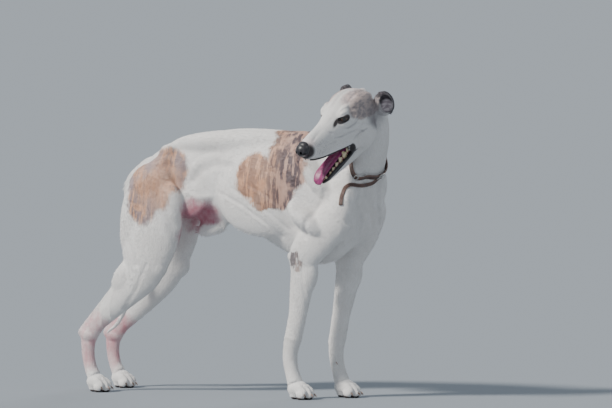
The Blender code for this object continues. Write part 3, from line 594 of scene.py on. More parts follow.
def ear_clay(side):
    """A small ear folded back: an open cup with a curled rear rim, a front edge and a tip."""
    s = side_of(side)
    lift = Matrix.Translation(EAR_LIFT) if s < 0 else Matrix()
    outward = Matrix.Translation((-0.010, s * 0.055, 0.002)) @ Matrix.Rotation(math.radians(s * 62), 4, "Z")
    cup = clay("cup")
    lump((0, 0, 0), (0.020, 0.0265, 0.034), around=32)
    placed(closed(cup), outward)
    hollow = clay("hollow")
    lump((0.012, s * 0.003, 0.002), (0.0225, 0.0190, 0.0255), around=28)
    cut(cup, placed(closed(hollow), outward))
    edges = clay(f"ear_{side}")
    tube((
        (-0.008, s * 0.050, 0.033, 0.0050, 0.0060),
        (-0.026, s * 0.057, 0.025, 0.0075, 0.0060),
        (-0.035, s * 0.062, 0.005, 0.0085, 0.0062),
        (-0.031, s * 0.064, -0.015, 0.0085, 0.0060),
        (-0.017, s * 0.062, -0.029, 0.0060, 0.0048),
    ), 4, 14)
    tube((
        (-0.002, s * 0.049, 0.033, 0.0035, 0.0035),
        (0.010, s * 0.052, 0.018, 0.0035, 0.0038),
        (0.010, s * 0.054, -0.006, 0.0035, 0.0038),
        (-0.003, s * 0.058, -0.024, 0.0040, 0.0040),
    ), 4, 12)
    return placed(joined(f"ear_{side}", closed(edges), cup), lift)


def points_of(obj):
    flat = np.zeros(len(obj.data.vertices) * 3, np.float32)
    obj.data.vertices.foreach_get("co", flat)
    return flat.reshape(-1, 3)


def normals_of(obj):
    flat = np.zeros(len(obj.data.vertices) * 3, np.float32)
    obj.data.vertices.foreach_get("normal", flat)
    return flat.reshape(-1, 3)


def stroke_heights(obj, strokes, inverse=None):
    """How far each point is raised, or sunk where negative, by soft lines drawn over the form.

    A stroke is its points, half width, height, whether it reaches through to the surface from
    the side, and the sides on which it is drawn.
    """
    here, facing = points_of(obj), normals_of(obj)
    if inverse is not None:
        turn = np.array(inverse.to_3x3())
        here = here @ turn.T + np.array(inverse.to_translation())
        facing = facing @ turn.T
    raised = np.zeros(len(here))
    for points, width, height, through, sides in strokes:
        weight = np.array((1.0, 0.0, 1.0) if through else (1.0, 1.0, 1.0))
        for s in sides:
            path = np.array([(x, s * y, z) for x, y, z in points])
            near = np.full(len(here), 9.0)
            for a, b in zip(path, path[1:]):
                run = (b - a) * weight
                t = np.clip(((here - a) * weight) @ run / (run @ run), 0, 1)
                near = np.minimum(near, np.linalg.norm((here - a - t[:, None] * (b - a)) * weight, axis=1))
            share = np.clip(1 - (near / width) ** 2, 0, 1) ** 2
            if through:
                share *= np.clip(facing[:, 1] * s * 3, 0, 1) * (here[:, 1] * s > 0)
            raised += share * height
    return raised


def pushed(obj, heights):
    """Moves each point along its normal."""
    spots = points_of(obj) + normals_of(obj) * heights[:, None]
    obj.data.vertices.foreach_set("co", spots.astype(np.float32).ravel())
    obj.data.update()
    return obj


def stroked(obj, strokes, inverse=None):
    return pushed(obj, stroke_heights(obj, strokes, inverse))


BOTH = (-1, 1)


def over(width, height, *points, sides=BOTH):
    """A line drawn over the surface through its points: as given for side 1, mirrored for side -1."""
    return points, width, height, False, sides


def flank(width, height, *points):
    """A line seen from the side, x and z, drawn on both sides wherever the surface lies."""
    return [(x, 0, z) for x, z in points], width, height, True, BOTH


# Lines of the head, in its frame
FACE_LINES = (
    over(0.006, 0.0022, (0.142, 0.03, 0.03), (0.128, 0.037, 0.0375), (0.106, 0.043, 0.0375), (0.088, 0.048, 0.026)),
    over(0.0045, -0.002, (0.14, 0.03, 0.04), (0.124, 0.034, 0.046), (0.1, 0.04, 0.045)),
    over(0.005, 0.0022, (0.146, 0.029, 0.012), (0.13, 0.038, 0.004), (0.108, 0.046, 0.006), (0.092, 0.05, 0.015)),
    over(0.005, -0.0026,
        (0.144, 0.031, 0.004), (0.124, 0.041, -0.005), (0.102, 0.048, -0.003), (0.086, 0.052, 0.006)),
    over(0.0045, 0.002, (0.16, 0.027, 0.002), (0.143, 0.034, -0.008), (0.116, 0.045, -0.012), (0.094, 0.051, -0.008)),
    over(0.005, -0.0026,
        (0.168, 0.028, -0.014), (0.145, 0.036, -0.02), (0.12, 0.044, -0.02), (0.096, 0.05, -0.022),
        (0.074, 0.048, -0.04)),
    over(0.0045, 0.002,
        (0.16, 0.031, -0.026), (0.136, 0.039, -0.031), (0.112, 0.043, -0.034), (0.092, 0.048, -0.034)),
    over(0.0045, -0.0024, (0.106, 0.038, -0.046), (0.09, 0.047, -0.034), (0.066, 0.051, -0.034)),
    over(0.0045, -0.002, (0.1, 0.036, -0.06), (0.084, 0.044, -0.052), (0.062, 0.047, -0.056)),
    over(0.011, 0.0022, (0.114, 0.047, 0.012), (0.074, 0.056, 0.004), (0.04, 0.057, -0.006)),
    over(0.007, -0.0012, (0.15, 0.018, 0.034), (0.19, 0.017, 0.022), (0.228, 0.015, 0.008)),
    over(0.006, -0.001, (0.17, 0.026, 0.002), (0.19, 0.023, -0.006), (0.214, 0.021, -0.012)),
    over(0.01, -0.0018, (0.135, 0.0, 0.052), (0.09, 0.0, 0.066), (0.04, 0.0, 0.068), sides=(1,)),
    over(0.008, -0.0016, (0.028, 0.05, -0.01), (0.03, 0.05, -0.04), (0.024, 0.046, -0.062)),
    over(0.004, -0.0012, (0.176, 0.025, 0.006), (0.16, 0.029, -0.004), (0.146, 0.033, -0.012)),
    over(0.004, -0.0012, (0.19, 0.025, -0.022), (0.166, 0.03, -0.026), (0.144, 0.036, -0.031)),
    over(0.004, -0.0012, (0.086, 0.05, -0.012), (0.07, 0.054, -0.016), (0.054, 0.054, -0.028)),
    over(0.004, -0.0014, (0.078, 0.049, -0.05), (0.06, 0.05, -0.048), (0.044, 0.048, -0.058)),
    over(0.0035, -0.0012, (0.124, 0.04, -0.006), (0.108, 0.047, -0.01), (0.09, 0.052, -0.006)),
    over(0.006, 0.0012, (0.112, 0.03, 0.052), (0.094, 0.03, 0.058), (0.074, 0.028, 0.062)),
)
# Lines of trunk and legs, in the stance frame
BODY_LINES = (
    *(
        flank(0.0095, -0.0013, (x, 0.665), (x - 0.020, 0.590), (x - 0.022, 0.525))
        for x in (-0.215, -0.183, -0.151, -0.119, -0.087, -0.055)
    ),
    flank(0.018, -0.004, (-0.315, 0.592), (-0.285, 0.622), (-0.235, 0.636), (-0.19, 0.63)),
    flank(0.015, 0.0022, (-0.322, 0.622), (-0.29, 0.65), (-0.24, 0.66)),
    flank(0.012, 0.0024, (-0.33, 0.56), (-0.3, 0.545), (-0.262, 0.548)),
    flank(0.011, -0.0022, (-0.225, 0.56), (-0.15, 0.528), (-0.08, 0.484), (-0.03, 0.44)),
    flank(0.01, -0.0018, (-0.175, 0.57), (-0.11, 0.542), (-0.05, 0.502), (-0.005, 0.46)),
    flank(0.009, -0.0015, (-0.12, 0.58), (-0.06, 0.552), (-0.01, 0.515)),
    flank(0.008, 0.0014, (-0.2, 0.545), (-0.13, 0.512), (-0.062, 0.462)),
    flank(0.019, -0.0036, (-0.34, 0.4), (-0.362, 0.48), (-0.4, 0.56), (-0.432, 0.62)),
    flank(0.015, -0.003, (-0.465, 0.36), (-0.5, 0.44), (-0.505, 0.52)),
    flank(0.017, 0.003, (-0.345, 0.64), (-0.352, 0.6), (-0.335, 0.54), (-0.318, 0.47)),
    flank(0.009, -0.0018, (-0.43, 0.36), (-0.47, 0.29), (-0.52, 0.235)),
    flank(0.015, 0.003, (0.01, 0.7), (0.045, 0.64), (0.082, 0.57)),
    flank(0.02, -0.004, (-0.035, 0.66), (-0.022, 0.59), (-0.005, 0.52), (0.015, 0.47)),
    flank(0.019, 0.0032, (0.02, 0.59), (0.028, 0.53), (0.04, 0.47)),
    flank(0.013, -0.003, (0.115, 0.56), (0.09, 0.5), (0.066, 0.44)),
    flank(0.007, -0.0014, (0.05, 0.37), (0.052, 0.3), (0.056, 0.24)),
    over(0.015, -0.006,
        (0.199, -0.052, 0.57), (0.194, -0.044, 0.537), (0.188, -0.026, 0.51), (0.187, -0.014, 0.47),
        (0.178, -0.002, 0.44), sides=(1,)),
    over(0.014, 0.003, (0.208, -0.02, 0.57), (0.206, -0.012, 0.53), (0.2, 0.004, 0.49), sides=(1,)),
    over(0.013, -0.004, (0.218, 0.022, 0.58), (0.211, 0.038, 0.524), (0.204, 0.06, 0.47), sides=(1,)),
    over(0.012, 0.0026, (0.18, 0.07, 0.56), (0.19, 0.078, 0.5), (0.18, 0.082, 0.44), sides=(1,)),
    over(0.012, 0.0026, (0.178, -0.07, 0.56), (0.172, -0.078, 0.5), (0.16, -0.082, 0.45), sides=(1,)),
    *(
        flank(0.0045, 0.0014, (x + 0.012, z + 0.040), (x, z), (x - 0.004, z - 0.045))
        for x, z in ((-0.560, 0.250), (-0.590, 0.222))
    ),
)


def halved(obj, keep_head):
    """Cuts at the plane of the collar, keeps one side and closes it."""
    alone(obj)
    bpy.ops.object.mode_set(mode="EDIT")
    bpy.ops.mesh.select_all(action="SELECT")
    bpy.ops.mesh.bisect(
        plane_co=COLLAR_AT, plane_no=COLLAR_NORMAL,
        use_fill=True, clear_inner=keep_head, clear_outer=not keep_head,
    )
    return closed(obj)


def thinned(obj, triangles):
    count = sum(len(p.vertices) - 2 for p in obj.data.polygons)
    return modify(obj, "DECIMATE", ratio=triangles / count) if count > triangles else obj


def slimmed(obj, depth):
    """Draws the surface in by the depth of the coat."""
    alone(obj)
    bpy.ops.object.mode_set(mode="EDIT")
    bpy.ops.mesh.select_all(action="SELECT")
    bpy.ops.transform.shrink_fatten(value=-depth)
    return closed(obj)


def matched_at_collar(head):
    """Sinks the nape to the depth of the body's skin, so that no step shows at the collar."""
    far = (points_of(head) - np.array(COLLAR_AT)) @ np.array(COLLAR_NORMAL)
    return pushed(head, (FACE_DEPTH - COAT_DEPTH) * np.clip(1.4 - far / 0.04, 0, 1))


def face_opened(head):
    """Cuts the mouth and the slits between the eyelids."""
    floor = clay("floor")
    lump((0.172, 0, -0.0390), (0.060, 0.0135, 0.0095), 4)
    tools = [placed(closed(floor), jaw_turn())]
    mouth = clay("mouth")
    lump((0.178, 0, -0.057), (0.066, 0.0160, 0.0120), 6)
    tools.append(closed(mouth))
    gullet = clay("gullet")
    lump((0.118, 0, -0.066), (0.042, 0.0205, 0.0200), -8)
    tools.append(closed(gullet))
    for s in (-1, 1):
        centre, gaze = mirrored(EYE_CENTRE, s), mirrored(EYE_GAZE, s)
        slit = clay("slit")
        lump((0, 0, 0), (0.0110, LID_SLIT[0], LID_SLIT[1]))
        turn = gaze.to_track_quat("X", "Z").to_matrix().to_4x4()
        tilt = Matrix.Rotation(math.radians(-s * LID_TILT), 4, "X")
        tools.append(placed(closed(slit), Matrix.Translation(centre + gaze * EYE_RADIUS) @ turn @ tilt))
        socket = clay("socket")
        lump(centre, (EYE_RADIUS + 0.0002,) * 3, around=40)
        tools.append(closed(socket))
    for tool in tools:
        cut(head, placed(tool, head_matrix()))
    return head


def skin_of_all():
    """Trunk, legs, feet, tail, neck, head and ears as one skin, finer from the collar up."""
    flesh = melted(joined("flesh", trunk_clay(), leg_clay()), 0.004, 9)
    nape = halved(twin(flesh, "nape"), True)
    tail = clay("tail")
    tube([(x, y, z, r, r) for x, y, z, r in TAIL], steps=3, sides=16)
    lump(TAIL[-1][:3], (0.0052, 0.0042, 0.0042), 40)
    lump((-0.512, 0, 0.624), (0.056, 0.027, 0.025), 40)
    parts = [flesh, closed(tail)]
    for kind, legs in (("fore", FORELEG), ("hind", HINDLEG)):
        for side, stations in legs.items():
            parts.append(paw_clay(kind, side, stations))
    head = placed(joined("head", head_clay(), flews(), ear_clay("right"), ear_clay("left")), head_matrix())
    head = slimmed(melted(joined("head", head, nape), HEAD_VOXEL, 5), FACE_DEPTH)
    body = slimmed(melted(joined("skin", *parts), BODY_VOXEL, 5), COAT_DEPTH)
    alone(body)
    bpy.ops.object.mode_set(mode="EDIT")
    pick(lambda v: v.co.z < COAT_DEPTH)
    bpy.ops.transform.resize(value=(1, 1, 0), center_override=(0, 0, COAT_DEPTH))
    body = thinned(halved(stroked(closed(body), BODY_LINES), False), BODY_TRIANGLES)
    matched_at_collar(stroked(head, FACE_LINES, head_matrix().inverted()))
    return joined("skin", body, thinned(face_opened(head), HEAD_TRIANGLES))


def finished(obj, slot, *nodes):
    """Moves a piece from the stance frame to its place, smooths its shading and ties it to the frame."""
    placed(obj, Matrix.Translation(STANCE_SHIFT))
    bpy.ops.object.shade_smooth()
    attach(obj, "root")
    if nodes:
        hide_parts(*nodes)
    return obj


# Paint


def wire(tree, value, socket):
    if isinstance(value, bpy.types.NodeSocket):
        tree.links.new(value, socket)
    else:
        socket.default_value = value


def node(tree, kind, inputs=None, **settings):
    made = tree.nodes.new(kind)
    for key, value in settings.items():
        setattr(made, key, value)
    for key, value in (inputs or {}).items():
        wire(tree, value, made.inputs[key])
    return made


def calc(tree, operation, a, b=0.0, c=0.0):
    return node(tree, "ShaderNodeMath", {0: a, 1: b, 2: c}, operation=operation).outputs[0]


def mix(tree, amount, a, b, blend="MIX"):
    made = node(tree, "ShaderNodeMix", data_type="RGBA", blend_type=blend)
    for value, socket in ((amount, made.inputs[0]), (a, made.inputs[6]), (b, made.inputs[7])):
        wire(tree, value if isinstance(value, (float, bpy.types.NodeSocket)) else (*value, 1.0), socket)
    return made.outputs[2]


def ramp(tree, value, low, high):
    """0 below low, 1 above high, smooth between; low may be the larger one."""
    flip = low > high
    made = node(
        tree, "ShaderNodeMapRange",
        {"Value": value, "From Min": min(low, high), "From Max": max(low, high),
         "To Min": 1.0 if flip else 0.0, "To Max": 0.0 if flip else 1.0},
        interpolation_type="SMOOTHSTEP",
    )
    return made.outputs[0]


def grain(tree, at, scale, detail=3.0, rough=0.55, colour=False):
    """Noise: a number, or a colour where asked."""
    made = node(tree, "ShaderNodeTexNoise", {"Vector": at, "Scale": scale, "Detail": detail, "Roughness": rough})
    return made.outputs["Color"] if colour else made.outputs[0]


def stretched(tree, at, scale):
    return node(tree, "ShaderNodeMapping", {"Vector": at, "Scale": scale}).outputs[0]


def shifted(tree, operation, a, b):
    """Vector arithmetic; to scale, b is a number."""
    return node(
        tree, "ShaderNodeVectorMath", {0: a, 3 if operation == "SCALE" else 1: b}, operation=operation
    ).outputs[0]


def along_x(tree, at):
    return node(tree, "ShaderNodeSeparateXYZ", {0: at}).outputs[0]


def framed(tree, at, matrix):
    """The same places measured in the frame that the matrix sets up."""
    return node(
        tree, "ShaderNodeMapping",
        {"Vector": at, "Location": matrix.to_translation(), "Rotation": matrix.to_euler()},
        vector_type="TEXTURE",
    ).outputs[0]


def frayed(tree, at, coarse, fine):
    """Places pushed about by noise, so that the edge of a patch breaks up into hair."""
    pushes = []
    for here, scale, amount in ((at, 26, coarse), (stretched(tree, at, (1, 1, 0.35)), 210, fine)):
        push = shifted(tree, "SUBTRACT", grain(tree, here, scale, 2, colour=True), (0.5,) * 3)
        pushes.append(shifted(tree, "SCALE", push, amount))
    return shifted(tree, "ADD", at, shifted(tree, "ADD", *pushes))


def object_place(tree):
    return node(tree, "ShaderNodeTexCoord").outputs["Object"]


def blob(tree, at, centre, radii, tilt=0.0, turn=0.0, soft=0.12):
    """A soft-edged ellipsoid of paint; tilt and turn as for a lump."""
    here = node(
        tree, "ShaderNodeMapping",
        {"Vector": at, "Location": centre, "Scale": radii,
         "Rotation": (0, math.radians(-tilt), math.radians(turn))},
        vector_type="TEXTURE",
    ).outputs[0]
    far = node(tree, "ShaderNodeVectorMath", {0: here}, operation="LENGTH").outputs["Value"]
    return ramp(tree, far, 1 + soft, 1 - soft)


def any_of(tree, masks):
    out = masks[0]
    for mask in masks[1:]:
        out = calc(tree, "MAXIMUM", out, mask)
    return out


def blobs(tree, at, rows, soft=0.12):
    """Several blobs as one mask; row: centre, radii and, where there are any, tilt and turn."""
    return any_of(tree, [blob(tree, at, *row, soft=soft) for row in rows])


def both(tree, a, b):
    return calc(tree, "MULTIPLY", a, b)


def material(name, **shader_values):
    made = bpy.data.materials.new(name)
    made.use_nodes = True
    shader = made.node_tree.nodes["Principled BSDF"]
    for key, value in shader_values.items():
        shader.inputs[key.replace("_", " ")].default_value = value
    return made, made.node_tree, shader


def relief(tree, shader, height, strength, distance):
    bump = node(tree, "ShaderNodeBump", {"Height": height, "Strength": strength, "Distance": distance})
    tree.links.new(bump.outputs[0], shader.inputs["Normal"])


WHITE = (0.80, 0.785, 0.77)
CREAM = (0.70, 0.64, 0.60)
TAN = (0.62, 0.33, 0.195)
FAWN_GREY = (0.40, 0.30, 0.27)
BRINDLE = (0.085, 0.060, 0.072)
SLATE = (0.026, 0.023, 0.030)
BLACK = (0.012, 0.010, 0.012)
LILAC = (0.37, 0.29, 0.31)


def markings_and_shade():
    """Colour of coat and skin by place: white, with brindled fawn patches, slate ears and dark eye rims, and painted
    shade below the ears, round the eyes and in the folds.
    """
    tree = bpy.data.node_groups.new("markings_and_shade", "ShaderNodeTree")
    tree.interface.new_socket(name="Colour", in_out="OUTPUT", socket_type="NodeSocketColor")
    out = tree.nodes.new("NodeGroupOutput")
    stance = node(
        tree, "ShaderNodeMapping", {"Vector": object_place(tree), "Location": tuple(-STANCE_SHIFT)}
    ).outputs[0]
    body = frayed(tree, stance, 0.032, 0.017)
    in_head = framed(tree, stance, head_matrix())
    face = frayed(tree, in_head, 0.012, 0.006)
    jaw = framed(tree, in_head, jaw_turn())

    def laid(mask, paint, strength=1.0):
        """Lays paint over the colour so far."""
        nonlocal colour
        colour = mix(tree, mask if strength == 1.0 else both(tree, mask, strength), colour, paint)

    hairs = grain(tree, stretched(tree, stance, (1, 1, 0.3)), 420, 2)
    colour = mix(tree, ramp(tree, grain(tree, stance, 9), 0.35, 0.7), WHITE, (0.86, 0.85, 0.84))
    laid(ramp(tree, hairs, 0.55, 0.35), CREAM, 0.22)

    # Brindle: upright dark streaks, broken along their length
    upright = grain(tree, stretched(tree, stance, (84, 26, 11)), 1.0, 3.0, 0.62)
    broken = grain(tree, stretched(tree, stance, (26, 26, 24)), 1.0, 2)
    streak = both(tree, ramp(tree, upright, 0.435, 0.510), ramp(tree, broken, 0.32, 0.50))
    mottle = grain(tree, stretched(tree, stance, (1, 1, 0.5)), 30)
    fawn = mix(tree, ramp(tree, mottle, 0.40, 0.62), TAN, (0.67, 0.40, 0.27))
    mottle = grain(tree, stretched(tree, stance, (1, 1, 0.45)), 22)
    dusky = mix(tree, ramp(tree, mottle, 0.42, 0.60), TAN, LILAC)

    ribs = blobs(tree, body, (
        ((-0.104, -0.080, 0.602), (0.058, 0.075, 0.066)),
        ((-0.066, -0.080, 0.596), (0.040, 0.070, 0.046)),
        ((-0.004, -0.060, 0.632), (0.068, 0.085, 0.084), 10),
        ((-0.020, -0.085, 0.558), (0.050, 0.060, 0.048), 20),
        ((-0.020, -0.010, 0.700), (0.058, 0.060, 0.050)),
        ((-0.068, -0.085, 0.550), (0.040, 0.060, 0.042)),
    ))
    forward = ramp(tree, along_x(tree, stance), -0.085, 0.0)
    rib_streak = both(tree, streak, calc(tree, "MULTIPLY_ADD", forward, 0.50, 0.46))
    rib_ground = mix(tree, both(tree, forward, 0.42), fawn, LILAC)
    laid(ribs, mix(tree, rib_streak, rib_ground, BRINDLE))

    thigh = blobs(tree, body, (
        ((-0.400, -0.085, 0.612), (0.070, 0.062, 0.082), -20),
        ((-0.432, -0.088, 0.578), (0.072, 0.062, 0.092), 30),
        ((-0.448, -0.090, 0.530), (0.056, 0.060, 0.078), 16),
    ))
    rearward = ramp(tree, along_x(tree, body), -0.395, -0.455)
    thigh_paint = mix(tree, calc(tree, "MULTIPLY_ADD", rearward, 0.75, 0.12), fawn, dusky)
    middle = blob(tree, body, (-0.418, -0.080, 0.585), (0.060, 0.090, 0.086), 20, soft=0.5)
    speckle = both(tree, streak, calc(tree, "MULTIPLY_ADD", calc(tree, "SUBTRACT", 1.0, middle), 0.75, 0.14))
    laid(thigh, mix(tree, speckle, thigh_paint, (0.20, 0.155, 0.180)), 0.94)

    far_side = blobs(tree, body, (
        ((-0.235, 0.085, 0.640), (0.110, 0.060, 0.085), 6),
        ((-0.175, 0.090, 0.570), (0.060, 0.050, 0.060)),
        ((-0.478, 0.090, 0.540), (0.056, 0.050, 0.052), 20),
        ((-0.500, 0.090, 0.490), (0.040, 0.050, 0.052), -20),
        ((0.050, 0.085, 0.600), (0.042, 0.045, 0.062), 30),
    ))
    laid(far_side, mix(tree, both(tree, streak, 0.75), fawn, BRINDLE), 0.90)
    elbow = blob(tree, body, (0.034, -0.078, 0.372), (0.024, 0.022, 0.034), 20)
    laid(elbow, mix(tree, streak, FAWN_GREY, BRINDLE), 0.85)
    laid(blob(tree, body, (0.101, 0.058, 0.181), (0.006, 0.008, 0.012)), FAWN_GREY, 0.7)

    # Bare skin that shows pink through thin hair
    bare = any_of(tree, [
        blob(tree, body, (-0.318, -0.030, 0.505), (0.066, 0.055, 0.044), soft=0.3),
        blob(tree, body, (-0.345, 0.030, 0.480), (0.066, 0.064, 0.066), soft=0.3),
        blob(tree, body, (-0.372, -0.040, 0.445), (0.058, 0.044, 0.086), soft=0.35),
    ])
    sheath = blob(tree, body, (-0.288, -0.005, 0.447), (0.048, 0.032, 0.034), soft=0.25)
    bare = both(tree, bare, calc(tree, "SUBTRACT", 1.0, sheath))
    mottled = calc(tree, "MULTIPLY_ADD", grain(tree, stance, 60, 2), 0.6, 0.58)
    laid(both(tree, bare, mottled), (0.44, 0.115, 0.175))
    flushed = blobs(tree, body, (
        ((-0.648, -0.084, 0.122), (0.034, 0.030, 0.066)),
        ((-0.618, -0.080, 0.196), (0.034, 0.030, 0.042), -50),
        ((-0.688, 0.094, 0.118), (0.034, 0.030, 0.066)),
        ((-0.656, 0.088, 0.186), (0.034, 0.030, 0.042), -50),
    ), 0.45)
    veins = grain(tree, stretched(tree, stance, (40, 40, 12)), 1.0)
    laid(both(tree, flushed, calc(tree, "MULTIPLY_ADD", veins, 1.6, -0.10)), (0.66, 0.32, 0.36))

    # Face: brindled temples each side of a white blaze, slate ears, dark eye rims with painted shade of the lids,
    # painted shade below the ears, and dark lips
    crown_tint = any_of(tree, [
        both(tree, blob(tree, face, *row, soft=0.4), share) for *row, share in (
            ((0.062, 0.030, 0.062), (0.060, 0.020, 0.024), 14, 0.75),
            ((0.062, -0.034, 0.060), (0.062, 0.022, 0.026), 14, 0.75),
            ((0.010, 0, 0.062), (0.030, 0.045, 0.020), 0, 0.6),
        )
    ])
    mottle = ramp(tree, grain(tree, in_head, 130), 0.4, 0.62)
    laid(crown_tint, mix(tree, mottle, (0.66, 0.50, 0.47), (0.44, 0.34, 0.35)))
    temples = blobs(tree, face, (
        ((0.046, 0.048, 0.026), (0.060, 0.024, 0.036), 8),
        ((0.020, 0.036, 0.044), (0.044, 0.026, 0.028)),
        ((0.050, -0.046, 0.030), (0.058, 0.026, 0.036), 6),
        ((0.018, -0.030, 0.046), (0.040, 0.026, 0.028)),
    ))
    nets = ramp(tree, grain(tree, stretched(tree, in_head, (60, 90, 90)), 1.0, 3, 0.65), 0.44, 0.62)
    laid(temples, mix(tree, nets, (0.50, 0.40, 0.37), (0.24, 0.20, 0.21)), 0.88)
    # Painted shade below each ear, darkest in a streak down the crease under the left ear
    shade = blobs(tree, face, [((0.018, s * 0.052, -0.014), (0.030, 0.024, 0.038), -30) for s in BOTH], 0.6)
    laid(shade, (0.20, 0.18, 0.20), 0.62)
    ear_crease_shade = blob(tree, face, (0.028, 0.053, -0.036), (0.012, 0.014, 0.036), -30, soft=0.75)
    laid(ear_crease_shade, (0.10, 0.085, 0.10), 0.50)
    ears = blobs(tree, face, (
        ((-0.026, 0.062, 0.004), (0.022, 0.026, 0.044)),
        ((-0.008, 0.054, 0.030), (0.016, 0.020, 0.014)),
        ((-0.008, -0.064, 0.022), (0.028, 0.024, 0.050)),
        ((0.006, -0.056, 0.056), (0.030, 0.024, 0.015)),
    ))
    mottle = ramp(tree, grain(tree, in_head, 95, 2), 0.42, 0.62)
    laid(ears, mix(tree, mottle, SLATE, (0.085, 0.075, 0.090)))
    cups = blobs(tree, in_head, (
        ((-0.018, 0.060, -0.005), (0.017, 0.015, 0.0165)),
        ((0.001, -0.060, 0.011), (0.017, 0.015, 0.0165)),
    ), 0.25)
    strands = ramp(tree, grain(tree, stretched(tree, in_head, (60, 60, 190)), 1.0, 3, 0.6), 0.46, 0.56)
    laid(cups, mix(tree, strands, (0.80, 0.72, 0.74), (0.46, 0.38, 0.42)), 0.92)
    # Dark rims round each eye: the lids' own dark pigment, with painted shade of the lids about it, and a dark streak
    # to the inner corner
    eye_rims_and_lid_shade = []
    for s in BOTH:
        eye = mirrored(EYE_CENTRE, s) + mirrored(EYE_GAZE, s) * EYE_RADIUS
        eye_rims_and_lid_shade.append(blob(tree, in_head, tuple(eye), (0.0215, 0.0125, 0.0096), -12, s * -38, 0.18))
        eye_rims_and_lid_shade.append(blob(tree, in_head, (0.146, s * 0.0275, 0.0200), (0.015, 0.007, 0.0050), -32, soft=0.4))
    laid(any_of(tree, eye_rims_and_lid_shade), (0.020, 0.015, 0.018))
    muzzle = blob(tree, in_head, (0.215, 0, -0.022), (0.042, 0.045, 0.024), soft=0.4)
    freckles = both(tree, ramp(tree, grain(tree, in_head, 430, 1), 0.60, 0.66), muzzle)
    laid(freckles, (0.08, 0.06, 0.07), 0.6)
    laid(blob(tree, face, (0.245, 0, 0.002), (0.022, 0.026, 0.018), soft=0.4), (0.62, 0.42, 0.42), 0.40)
    lower_lip = both(
        tree,
        blob(tree, jaw, (0.172, 0, -0.0490), (0.084, 0.050, 0.0112), 6, soft=0.10),
        ramp(tree, along_x(tree, jaw), 0.098, 0.112),
    )
    chin = blob(tree, jaw, (0.232, 0, -0.052), (0.020, 0.022, 0.014), soft=0.25)
    upper_lip = blob(tree, in_head, (0.180, 0, -0.0600), (0.085, 0.050, 0.0065), 6, soft=0.2)
    corners = blobs(tree, in_head, [((0.1150, s * 0.032, -0.0710), (0.0095, 0.016, 0.0155)) for s in BOTH], 0.2)
    philtrum = blob(tree, in_head, (0.246, 0, -0.014), (0.0225, 0.024, 0.024), 10)
    laid(any_of(tree, [lower_lip, chin, upper_lip, philtrum, corners]), BLACK)

    # Painted shade: the colour darkened in the folds and furrows, as deep as the lines sink the surface there
    painted_fold_shade = node(tree, "ShaderNodeAttribute", attribute_name="fold").outputs["Fac"]
    laid(painted_fold_shade, mix(tree, 1.0, colour, (0.40, 0.37, 0.41), "MULTIPLY"), 0.50)
    wire(tree, colour, out.inputs[0])
    return tree


def coat_paint(name, group, hair):
    """The markings and painted shade on skin, or on hair, which also varies from tuft to tuft."""
    made, tree, shader = material(name, Roughness=0.62, Sheen_Weight=0.12, Sheen_Roughness=0.5)
    use = node(tree, "ShaderNodeGroup")
    use.node_tree = group
    colour = use.outputs[0]
    at = object_place(tree)
    if hair:
        tuft = node(tree, "ShaderNodeAttribute", attribute_name="tuft").outputs["Fac"]
        colour = node(tree, "ShaderNodeHueSaturation",
                      {"Value": calc(tree, "MULTIPLY_ADD", tuft, 0.16, 0.93), "Color": colour}).outputs[0]
        wire(tree, calc(tree, "MULTIPLY_ADD", tuft, 0.2, 0.48), shader.inputs["Roughness"])
        height = grain(tree, stretched(tree, at, (1, 1, 0.3)), 900, 1)
        relief(tree, shader, height, 0.12, 0.0004)
    else:
        pores = grain(tree, at, 700, 3)
        lie = grain(tree, stretched(tree, at, (1, 1, 0.25)), 380, 3, 0.6)
        colour = mix(tree, both(tree, ramp(tree, pores, 0.6, 0.4), 0.10), colour, (0.52, 0.38, 0.36))
        wire(tree, calc(tree, "MULTIPLY_ADD", pores, 0.25, 0.50), shader.inputs["Roughness"])
        relief(tree, shader, calc(tree, "ADD", lie, both(tree, pores, 0.4)), 0.30, 0.0009)
    wire(tree, colour, shader.inputs["Base Color"])
    return made


def plain_paint(name, dark, light, scale, roughness, bump=(0.3, 0.0005), stretch=(1, 1, 1), **shader_values):
    """Two tones mottled together, with pores that roughen and lift the surface."""
    made, tree, shader = material(name, **shader_values)
    at = stretched(tree, object_place(tree), stretch)
    mottle = grain(tree, at, scale, 3)
    fine = grain(tree, at, scale * 6, 2)
    wire(tree, mix(tree, ramp(tree, mottle, 0.35, 0.65), dark, light), shader.inputs["Base Color"])
    wire(tree, calc(tree, "MULTIPLY_ADD", fine, 0.25, roughness - 0.12), shader.inputs["Roughness"])
    relief(tree, shader, calc(tree, "ADD", fine, mottle), *bump)
    return made


def nose_paint():
    """Black leather of the nose, cobbled and moist."""
    made, tree, shader = material("nose_leather", Coat_Weight=0.35, Coat_Roughness=0.25)
    at = object_place(tree)
    cobble = node(tree, "ShaderNodeTexVoronoi", {"Vector": at, "Scale": 900}, feature="SMOOTH_F1").outputs["Distance"]
    mottle = ramp(tree, grain(tree, at, 160), 0.35, 0.65)
    tone = mix(tree, mottle, (0.010, 0.009, 0.012), (0.035, 0.030, 0.036))
    wire(tree, tone, shader.inputs["Base Color"])
    wire(tree, calc(tree, "MULTIPLY_ADD", grain(tree, at, 300), 0.3, 0.26), shader.inputs["Roughness"])
    relief(tree, shader, cobble, 0.5, 0.0006)
    return made


